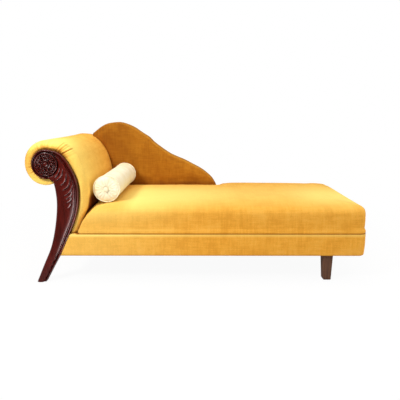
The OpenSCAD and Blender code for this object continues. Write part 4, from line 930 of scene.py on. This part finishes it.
# Rosette -------------------------------------------------------------------------------------------------
# A turned mahogany boss, glued and pinned into the roundel: rings, a circle of carved beads, ten petals
# and ten leaf tips between them, round a domed centre.
ROSETTE_R, ROSETTE_BACK = 0.060, -0.3413
TURNED = [(0, .0122), (.06, .0119), (.12, .0110), (.17, .0092), (.205, .0068), (.225, .0042), (.25, .0030),
          (.28, .0034), (.30, .0052), (.33, .0058), (.36, .0052), (.385, .0036), (.41, .0026), (.50, .0025),
          (.60, .0027), (.655, .0031), (.67, .0046), (.695, .0056), (.72, .0046), (.735, .0030), (.75, .0022),
          (.80, .0020), (.86, .0021), (.875, .0032), (.89, .0050), (.92, .0062), (.955, .0060), (.98, .0046),
          (1, .0022), (1, 0)]
turned_line = spline([(a * ROSETTE_R, b) for a, b in TURNED], 3)
TURN_STEPS = 128
verts, faces = loft([[(x, ROSETTE_BACK - h, z) for x, z in arc(ROUNDEL, r, 0, 360, TURN_STEPS)[:-1]]
                     for r, h in turned_line[1:]])
faces = faces[:-2] + [faces[-1]]
verts.append((ROUNDEL[0], ROSETTE_BACK - turned_line[0][1], ROUNDEL[1]))
faces += [(len(verts) - 1, (k + 1) % TURN_STEPS, k) for k in range(TURN_STEPS)]
rosette = make_piece("rosette_turned", verts, faces, mahogany)
co = points_of(rosette)
mark(rosette, "cut", np.clip(1.45 - (ROSETTE_BACK - co[:, 1] - 0.0022) / 0.0024, 0, 1))
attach(rosette, "couch")
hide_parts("rosette")


def carved_ring(tree, given):
    """Ovals set round a circle, each turned to point at its centre."""
    circle = add(tree, "GeometryNodeMeshCircle", {"Vertices": given["Number"], "Radius": given["Ring radius"]})
    oval = add(tree, "GeometryNodeMeshUVSphere", {"Segments": 12, "Rings": 7, "Radius": 1.0})
    size = add(tree, "CombineXYZ", {0: given["Radial length"], 1: given["Round length"], 2: given["Height"]})
    shaped = add(tree, "GeometryNodeTransform", {"Geometry": oval, "Scale": size})
    spot = add(tree, "GeometryNodeInputPosition")
    turned = add(tree, "FunctionNodeAlignRotationToVector", {"Vector": spot}, axis="X")
    placed = add(tree, "GeometryNodeInstanceOnPoints", {"Points": circle, "Instance": shaped, "Rotation": turned})
    spin = add(tree, "CombineXYZ", {2: given["Start angle"]})
    spun = add(tree, "GeometryNodeTransform", {"Geometry": placed, "Rotation": spin})
    upright = add(tree, "GeometryNodeTransform", {"Rotation": (math.pi / 2, 0, 0), "Geometry": spun})
    hub = add(tree, "CombineXYZ", {0: ROUNDEL[0], 1: given["Face"], 2: ROUNDEL[1]})
    return add(tree, "GeometryNodeTransform", {"Geometry": upright, "Translation": hub})


RING = {"Number": 20, "Ring radius": 0.0480, "Radial length": 0.0034, "Round length": 0.0056, "Height": 0.0046,
        "Start angle": 0.0, "Face": -0.3434}
for name, changes in {
        "rosette_beads": {},
        "rosette_petals": {"Number": 10, "Ring radius": 0.0318, "Radial length": 0.0078, "Round length": 0.0064,
                           "Height": 0.0030, "Face": -0.3436},
        "rosette_leaf_tips": {"Number": 10, "Ring radius": 0.0372, "Radial length": 0.0040, "Round length": 0.0022,
                              "Height": 0.0018, "Start angle": math.pi / 10, "Face": -0.3436},
        }.items():
    sizes = dict(RING, **changes)
    ring = along_path(name, [([(0, 0, 0), (0, 0, 0.001)], False)], carved_ring, sizes, mahogany)
    mark(ring, "cut", np.clip((points_of(ring)[:, 1] - (sizes["Face"] - 0.6 * sizes["Height"])) / 0.0018, 0, 1))
    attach(ring, "couch")

# Half back -----------------------------------------------------------------------------------------------
# A humped plywood board padded on its inner side and covered in golden chenille, painted as a darker, browner
# copy for shade. A piping cord covers the join with the outside cover along the top.
HUMP_LEFT = [(.272, .848), (.402, .899), (.543, .949), (.683, .982), (.831, .996), (1, 1)]
HUMP_RIGHT = [(.062, .984), (.148, .94), (.232, .872), (.302, .818), (.365, .746), (.515, .620), (.665, .540),
              (.756, .483), (.847, .423), (.939, .332), (.985, .25), (1, .2)]
HUMP_TOP_X, HUMP_RISE = -0.525, 0.563
hump = spline([(ROLL[0] + a * 0.260, SEAT_Z + b * HUMP_RISE) for a, b in HUMP_LEFT]
              + [(HUMP_TOP_X + a * 0.665, SEAT_Z + b * HUMP_RISE) for a, b in HUMP_RIGHT], 8)
hump_x, hump_z = [q[0] for q in hump], [q[1] for q in hump]
BULGE_X = max(q[0] for q in arm_inner) + 0.0012
turn_z = max(arm_inner, key=lambda q: q[0])[1]
over_x, over_z = zip(*sorted((q[0] + 0.0012, q[1]) for q in arm_inner if q[1] >= turn_z))


def hump_top(x):
    return float(np.interp(x, hump_x, hump_z))


def hump_foot(x, fold_z):
    """The back's lower edge: on the arm where the arm bulges over it, else at fold_z."""
    return fold_z if x >= BULGE_X else float(np.interp(x, over_x, over_z))


# painted shade: a darker, browner copy of the golden chenille
gold_shade = chenille("golden_chenille_painted_darker_as_shade", "ad6d17", "b9781e", "9f6012", "c98c2c", 0.03)
BACK_COLS, BACK_ROWS = 150, 46
start_x = next(x for x in np.linspace(-0.70, BULGE_X, 400) if hump_top(x) - hump_foot(x, SEAT_Z) > 0.017)
columns = np.concatenate([np.linspace(start_x, BULGE_X - 0.0008, 40),
                          np.linspace(BULGE_X, BACK_X1 - 0.0004, BACK_COLS)])
rings = []
for x in columns:
    top, foot = hump_top(x), hump_foot(x, SEAT_Z + 0.0004)
    r = min(0.016, (top - foot) * 0.45)
    ring = []
    for k in range(BACK_ROWS):
        s = k / (BACK_ROWS - 1)
        z = foot + (top - r - foot) * s
        clear_seat = smooth_step(z, 0.416, 0.47)
        low_down = z < turn_z + 0.03
        clear_arm = smooth_step(x - BULGE_X if low_down else z - hump_foot(x, 0), -0.005 if low_down else 0.0, 0.05)
        to_end = smooth_step(BACK_X1 - x, 0.0, 0.05)
        to_top = smooth_step(top - z, 0.012, 0.06)
        belly = 0.0065 * clear_seat * clear_arm * to_end * to_top
        drift = 0.0013 * noise.noise(Vector((x * 6, 1.5, z * 7))) * clear_seat * to_end
        ring.append((x, BACK_Y0 - belly + drift * clear_arm, z))
    for k in range(1, 9):
        a = math.radians(90 * k / 8)
        ring.append((x, BACK_Y0 + r * (1 - math.cos(a)), top - r + r * math.sin(a)))
    ring += [(x, 0.315, top + 0.0003), (x, 0.330, top + 0.0002), (x, 0.3405, top - 0.0004), (x, 0.3436, top - 0.0016),
             (x, 0.3438, top - 0.008), (x, 0.325, foot + (top - foot) * 0.5 - 0.006), (x, 0.325, foot)]
    rings.append(ring)
verts, faces = loft(rings)
back = make_piece("back_inside_cover_filled", verts, faces, gold_shade)
co = points_of(back)
# painted shade along the foot and top edge, a painted shadow of the bolster by the head; painted light facing up
foot_z = np.array([hump_foot(x, 0.408) for x in co[:, 0]])
behind_bolster = np.interp(co[:, 0], [-0.62, -0.52, -0.40, -0.28], [0.28, 0.24, 0.11, 0.0])
fold = np.maximum(smooth_step(-(co[:, 2] - foot_z), -0.022, 0.0) * 0.45, behind_bolster)
top_z = np.array([hump_top(x) for x in co[:, 0]])
rim_shade = smooth_step(co[:, 1], 0.300, 0.335) * smooth_step(co[:, 2] - top_z, -0.02, -0.004) * 0.35
paint_light_and_shade(back, 0.55, np.maximum(fold, rim_shade))
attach(back, "couch")
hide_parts("back_inside_cover", "back_foam")

# The outside of the back is one flat width of the same cloth, slip-stitched under the piping.
rings = []
for x in columns:
    top, foot = hump_top(x) - 0.0068, hump_foot(x, SEAT_Z + 0.0002)
    ring = []
    for k in range(24):
        s = k / 23
        z = foot + (top - foot) * s
        full = min(1, s * 10, (1 - s) * 10) * smooth_step(BACK_X1 - x, 0.0, 0.03)
        ring.append((x, 0.3498 + 0.0016 * full * full + 0.0005 * full * noise.noise(Vector((x * 8, 3.0, z * 8))), z))
    ring += [(x, 0.3476, top), (x, 0.3476, foot)]
    rings.append(ring)
verts, faces = loft(rings)
outside = make_piece("back_outside_cover_panel", verts, faces, gold_upright)
co = points_of(outside)
foot_z = np.array([hump_foot(x, SEAT_Z) for x in co[:, 0]])
# painted shade along its foot; painted light where it faces up
paint_light_and_shade(outside, 0.4, smooth_step(-(co[:, 2] - foot_z), -0.008, 0.0) * 0.5)
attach(outside, "couch")
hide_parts("back_outside_cover")


def cord_in_cloth(tree, given):
    """A filled cord sewn into cloth: a round section along the line, nipped where each stitch pulls it."""
    line = add(tree, "GeometryNodeMeshToCurve", {"Mesh": given["Geometry"]})
    spaced = add(tree, "GeometryNodeResampleCurve", {"Curve": line, "Length": given["Spacing"]}, mode="LENGTH")
    index = add(tree, "GeometryNodeInputIndex")
    # a quarter turn of the wave at each stitch
    wave = add(tree, "Math", {0: index, 1: 1.5708}, operation="MULTIPLY")
    pull = add(tree, "Math", {0: wave}, operation="SINE")
    nip = add(tree, "Math", {0: pull, 1: -0.03, 2: 0.97}, operation="MULTIPLY_ADD")
    held = add(tree, "GeometryNodeSetCurveRadius", {"Curve": spaced, "Radius": nip})
    section = add(tree, "GeometryNodeCurvePrimitiveCircle", {"Resolution": 10, "Radius": given["Cord radius"]})
    return add(tree, "GeometryNodeCurveToMesh", {"Fill Caps": True, "Curve": held, "Profile Curve": section})


PIPING_R, STITCH = 0.003, 0.003
cord_line = [(x, 0.347, hump_top(x) - PIPING_R) for x in columns]
back_piping = along_path("back_piping_cord", [(cord_line, False)], cord_in_cloth,
                         {"Cord radius": PIPING_R, "Spacing": STITCH}, gold_shade)
# painted light where the cord faces up
paint_light_and_shade(back_piping, 0.3)
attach(back_piping, "couch")
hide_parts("back_piping")

# Tapered legs --------------------------------------------------------------------------------------------
# Three square hardwood legs that taper to the floor, stained dark brown and satin lacquered, with their
# edges broken by sandpaper. Each turns onto a bolt in the rail and stands on a nail-on nylon glide.
LEG_TOP, LEG_FOOT, LEG_Z0, LEG_Z1 = 0.0525, 0.0405, 0.0008, 0.1438
stained = timber("dark_stained_hardwood", "6a452d", "503221", "21120a", "Z", 3, 0.62)
for name in ("foot_front_leg", "foot_rear_leg", "head_rear_leg"):
    low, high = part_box(name)
    cx, cy = (low.x + high.x) / 2, (low.y + high.y) / 2
    rings = []
    for inset, z in ((0.004, LEG_Z0), (0.0012, LEG_Z0 + 0.0008), (0, LEG_Z0 + 0.003), (0, 0.02), (0, 0.05),
                     (0, 0.08), (0, 0.11), (0, LEG_Z1 - 0.001), (0.0006, LEG_Z1)):
        half = (LEG_FOOT + (LEG_TOP - LEG_FOOT) * (z - LEG_Z0) / (LEG_Z1 - LEG_Z0)) / 2 - inset
        ring = []
        for turn, sx, sy in ((0, 1, 1), (90, -1, 1), (180, -1, -1), (270, 1, -1)):
            ring += arc((cx + sx * (half - 0.0035), cy + sy * (half - 0.0035)), 0.0035, turn, turn + 90, 5)
        rings.append([(x, y, z) for x, y in ring])
    verts, faces = loft(rings)
    leg = make_piece(name + "_tapered", verts, faces, stained)
    bake(leg, "EDGE_SPLIT", split_angle=math.radians(40))
    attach(leg, "couch")
    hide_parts(name)

# Nylon glides: moulded black plastic, matt with a faint orange peel.
nylon, t, place = new_material("moulded_black_nylon")
peel = add(t, "TexNoise", {"Scale": 1200.0, "Detail": 2.0, "Vector": place})
tone = add(t, "ValToRGB", {0: peel}, stops=((0.0, "141416"), (1.0, "242428")))
relief = add(t, "Bump", {"Strength": 0.2, "Distance": 0.0003, "Height": peel})
plastic = add(t, "BsdfPrincipled", {"Roughness": 0.55, "IOR": 1.53, "Base Color": tone, "Normal": relief})
add(t, "OutputMaterial", {"Surface": plastic})
dress(nylon, "foot_glides")

# Bolster -------------------------------------------------------------------------------------------------
# A loose round bolster filled with wadding, in cream satin: a plain body between two piped rims, and ends
# gathered into pleats under a covered button.
low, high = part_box("bolster_piping")
AXIS_X, AXIS_Y, AXIS_Z = ((a + b) / 2 for a, b in zip(low, high))
BOLSTER_R, RIM, DOME = 0.074, 0.244, 0.020


def lay_bolster(piece):
    """Turn a bolster piece made along its axis to the way the bolster lies, half a degree off square."""
    turn = math.radians(-0.5)
    spots = points_of(piece)
    x, y = spots[:, 0] - AXIS_X, spots[:, 1] - AXIS_Y
    spots[:, 0] = AXIS_X + x * math.cos(turn) - y * math.sin(turn)
    spots[:, 1] = AXIS_Y + x * math.sin(turn) + y * math.cos(turn)
    move_points(piece, spots)
    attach(piece, "bolster")


def satin(name, body, light, deep, pleat_shade):
    """Cream satin: long floats that shine across the weave, with threads 0.4 mm apart drawn at 1.2 mm to show."""
    made, t, place = new_material(name)
    folds = add(t, "TexNoise", {"Scale": 14.0, "Detail": 4.0, "Roughness": 0.6, "Distortion": 0.4, "Vector": place})
    threads = add(t, "TexWave", {"Scale": 130.0, "Distortion": 1.5, "Detail": 2.0, "Vector": place},
                  bands_direction="Y")
    tone = add(t, "ValToRGB", {0: folds}, stops=((0.32, deep), (0.68, light), (0.5, body)))
    # painted shade: pleat_shade where a piece marks its folds
    fold = add(t, "Attribute", attribute_name="painted_shade")
    shaded = add(t, "Mix", {"Factor": fold.outputs["Fac"], "A": tone, "B": linear(pleat_shade)}, data_type="RGBA")
    relief = add(t, "Bump", {"Strength": 0.10, "Distance": 0.0005, "Height": threads.outputs[1]})
    crumple = add(t, "Bump", {"Strength": 0.25, "Distance": 0.004, "Height": folds, "Normal": relief})
    sheen = add(t, "MapRange", {0: folds, "To Min": 0.42, "To Max": 0.60})
    cloth = add(t, "BsdfPrincipled", {"Specular IOR Level": 0.35, "Sheen Weight": 0.15, "Sheen Roughness": 0.3,
                "Sheen Tint": linear("fff8e0"), "Base Color": shaded.outputs[2], "Roughness": sheen,
                "Normal": crumple})
    add(t, "OutputMaterial", {"Surface": cloth})
    return made


cream = satin("cream_satin", "f6edcd", "fbf5de", "ecdfb9", "cbbb8c")
END_PROFILE = [(0.10, 1.0), (0.30, 1.0), (0.50, 0.96), (0.68, 0.84), (0.82, 0.62), (0.91, 0.34), (0.965, 0.10)]
start_r, AROUND = BOLSTER_R - 0.003, 96
half = [(share * start_r, -(RIM - 0.004 + (DOME - 0.006) * lift)) for share, lift in END_PROFILE]
half += [(start_r * 0.99, -RIM + 0.006), (start_r, -RIM + 0.014)]
body = [(start_r, -RIM + 0.014 + (2 * RIM - 0.028) * k / 20) for k in range(1, 20)]
verts, faces = loft([[(x, AXIS_Y + y, z) for x, z in arc((AXIS_X, AXIS_Z), r, 0, 360, AROUND)[:-1]]
                     for r, y in half + body + [(r, -y) for r, y in reversed(half)]])
bolster = make_piece("bolster_cover_filled", verts, faces, cream)
swell(bolster, 0.0045, 3.0, 0.003, lambda p: np.abs(np.abs(p[:, 1] - AXIS_Y) - RIM + 0.003) < 0.004)
co = points_of(bolster)
x, y, z = co.T
dx, dy, dz = x - AXIS_X, y - AXIS_Y, z - AXIS_Z
r = np.hypot(dx, dz)
turn = np.arctan2(dz, dx)
side = np.sign(dy)
at_end = smooth_step(np.abs(dy), RIM - 0.004, RIM + 0.004)
# pleats on the ends: unevenly spaced folds that deepen towards the button and die out near the rim
PLEATS = 15
uneven = turn * PLEATS + 1.9 * np.sin(turn * 2 + 0.6 + side) + 1.2 * np.sin(turn * 5 + 2.1 * side)
fold = np.abs(np.sin(uneven / 2)) ** 0.6
share = r / BOLSTER_R
depth = 0.0030 * smooth_step(share, 0.06, 0.26) * (1 - smooth_step(share, 0.55, 0.97))
depth += 0.0012 * (1 - smooth_step(share, 0.80, 0.99)) * smooth_step(share, 0.4, 0.6)
dent = 0.008 * np.exp(-(share / 0.22) ** 2)
y -= side * at_end * (depth * (1 - fold) + dent)
# soft rings of pull along the body close to the rims
body = 1 - at_end
pull = 0.0011 * np.exp(-((RIM - np.abs(dy)) / 0.018)) * (0.5 + 0.5 * np.sin(turn * 23 + 3 * np.sin(turn * 4)))
inwards = body * (pull - 0.0010 * waver(co, (22, 9, 22), 0))
x -= dx / np.maximum(r, 1e-6) * inwards
z -= dz / np.maximum(r, 1e-6) * inwards
# it stays inside its own size, so that it clears the arm and the seat
r = np.hypot(x - AXIS_X, z - AXIS_Z)
keep = np.minimum(1, (BOLSTER_R - 0.0001) / np.maximum(r, 1e-6))
x[:] = AXIS_X + (x - AXIS_X) * keep
z[:] = AXIS_Z + (z - AXIS_Z) * keep
move_points(bolster, co)
# painted shade in the pleats of the ends
pleated = smooth_step(share, 0.05, 0.2) * (1 - smooth_step(share, 0.6, 0.98))
mark(bolster, "painted_shade", at_end * (1 - fold) ** 1.5 * 0.32 * pleated)
lay_bolster(bolster)
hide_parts("bolster_cover", "bolster_filling")

rim_lines = [([(x, AXIS_Y + side * (RIM - PIPING_R), z)
               for x, z in arc((AXIS_X, AXIS_Z), BOLSTER_R - PIPING_R, 0, 360, 120)[:-1]], True) for side in (-1, 1)]
bolster_piping = along_path("bolster_piping_cord", rim_lines, cord_in_cloth,
                            {"Cord radius": 0.0029, "Spacing": STITCH}, cream)
mark(bolster_piping, "painted_shade", np.zeros(len(bolster_piping.data.vertices)))
lay_bolster(bolster_piping)
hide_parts("bolster_piping")

# Covered buttons: a pressed metal cap with satin folded over it, tied through the bolster.
BUTTON = [(0, .0056), (.3, .0054), (.55, .0047), (.75, .0036), (.9, .0020), (.98, .0004), (1, -.0010),
          (.96, -.0024), (.8, -.0032), (.3, -.0036), (.2, -.010)]
BUTTON_R, BUTTON_Y = 0.013, RIM + 0.0150
button_verts, button_faces = [], []
for side in (-1, 1):
    verts, faces = loft([[(x, AXIS_Y + side * (BUTTON_Y + lift), z)
                          for x, z in arc((AXIS_X, AXIS_Z), BUTTON_R * share, 0, 360, 40)[:-1]]
                         for share, lift in spline(BUTTON, 3)[1:]])
    first = len(button_verts)
    button_verts += verts
    button_faces += [tuple(first + i for i in f) for f in faces]
buttons = make_piece("bolster_covered_buttons", button_verts, button_faces, cream)
co = points_of(buttons)
# painted shade on the lower part of the button, where it sinks into the end
mark(buttons, "painted_shade", np.clip((RIM + 0.0148 - np.abs(co[:, 1] - AXIS_Y)) / 0.003, 0, 1) * 0.6)
lay_bolster(buttons)
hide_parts("bolster_buttons")
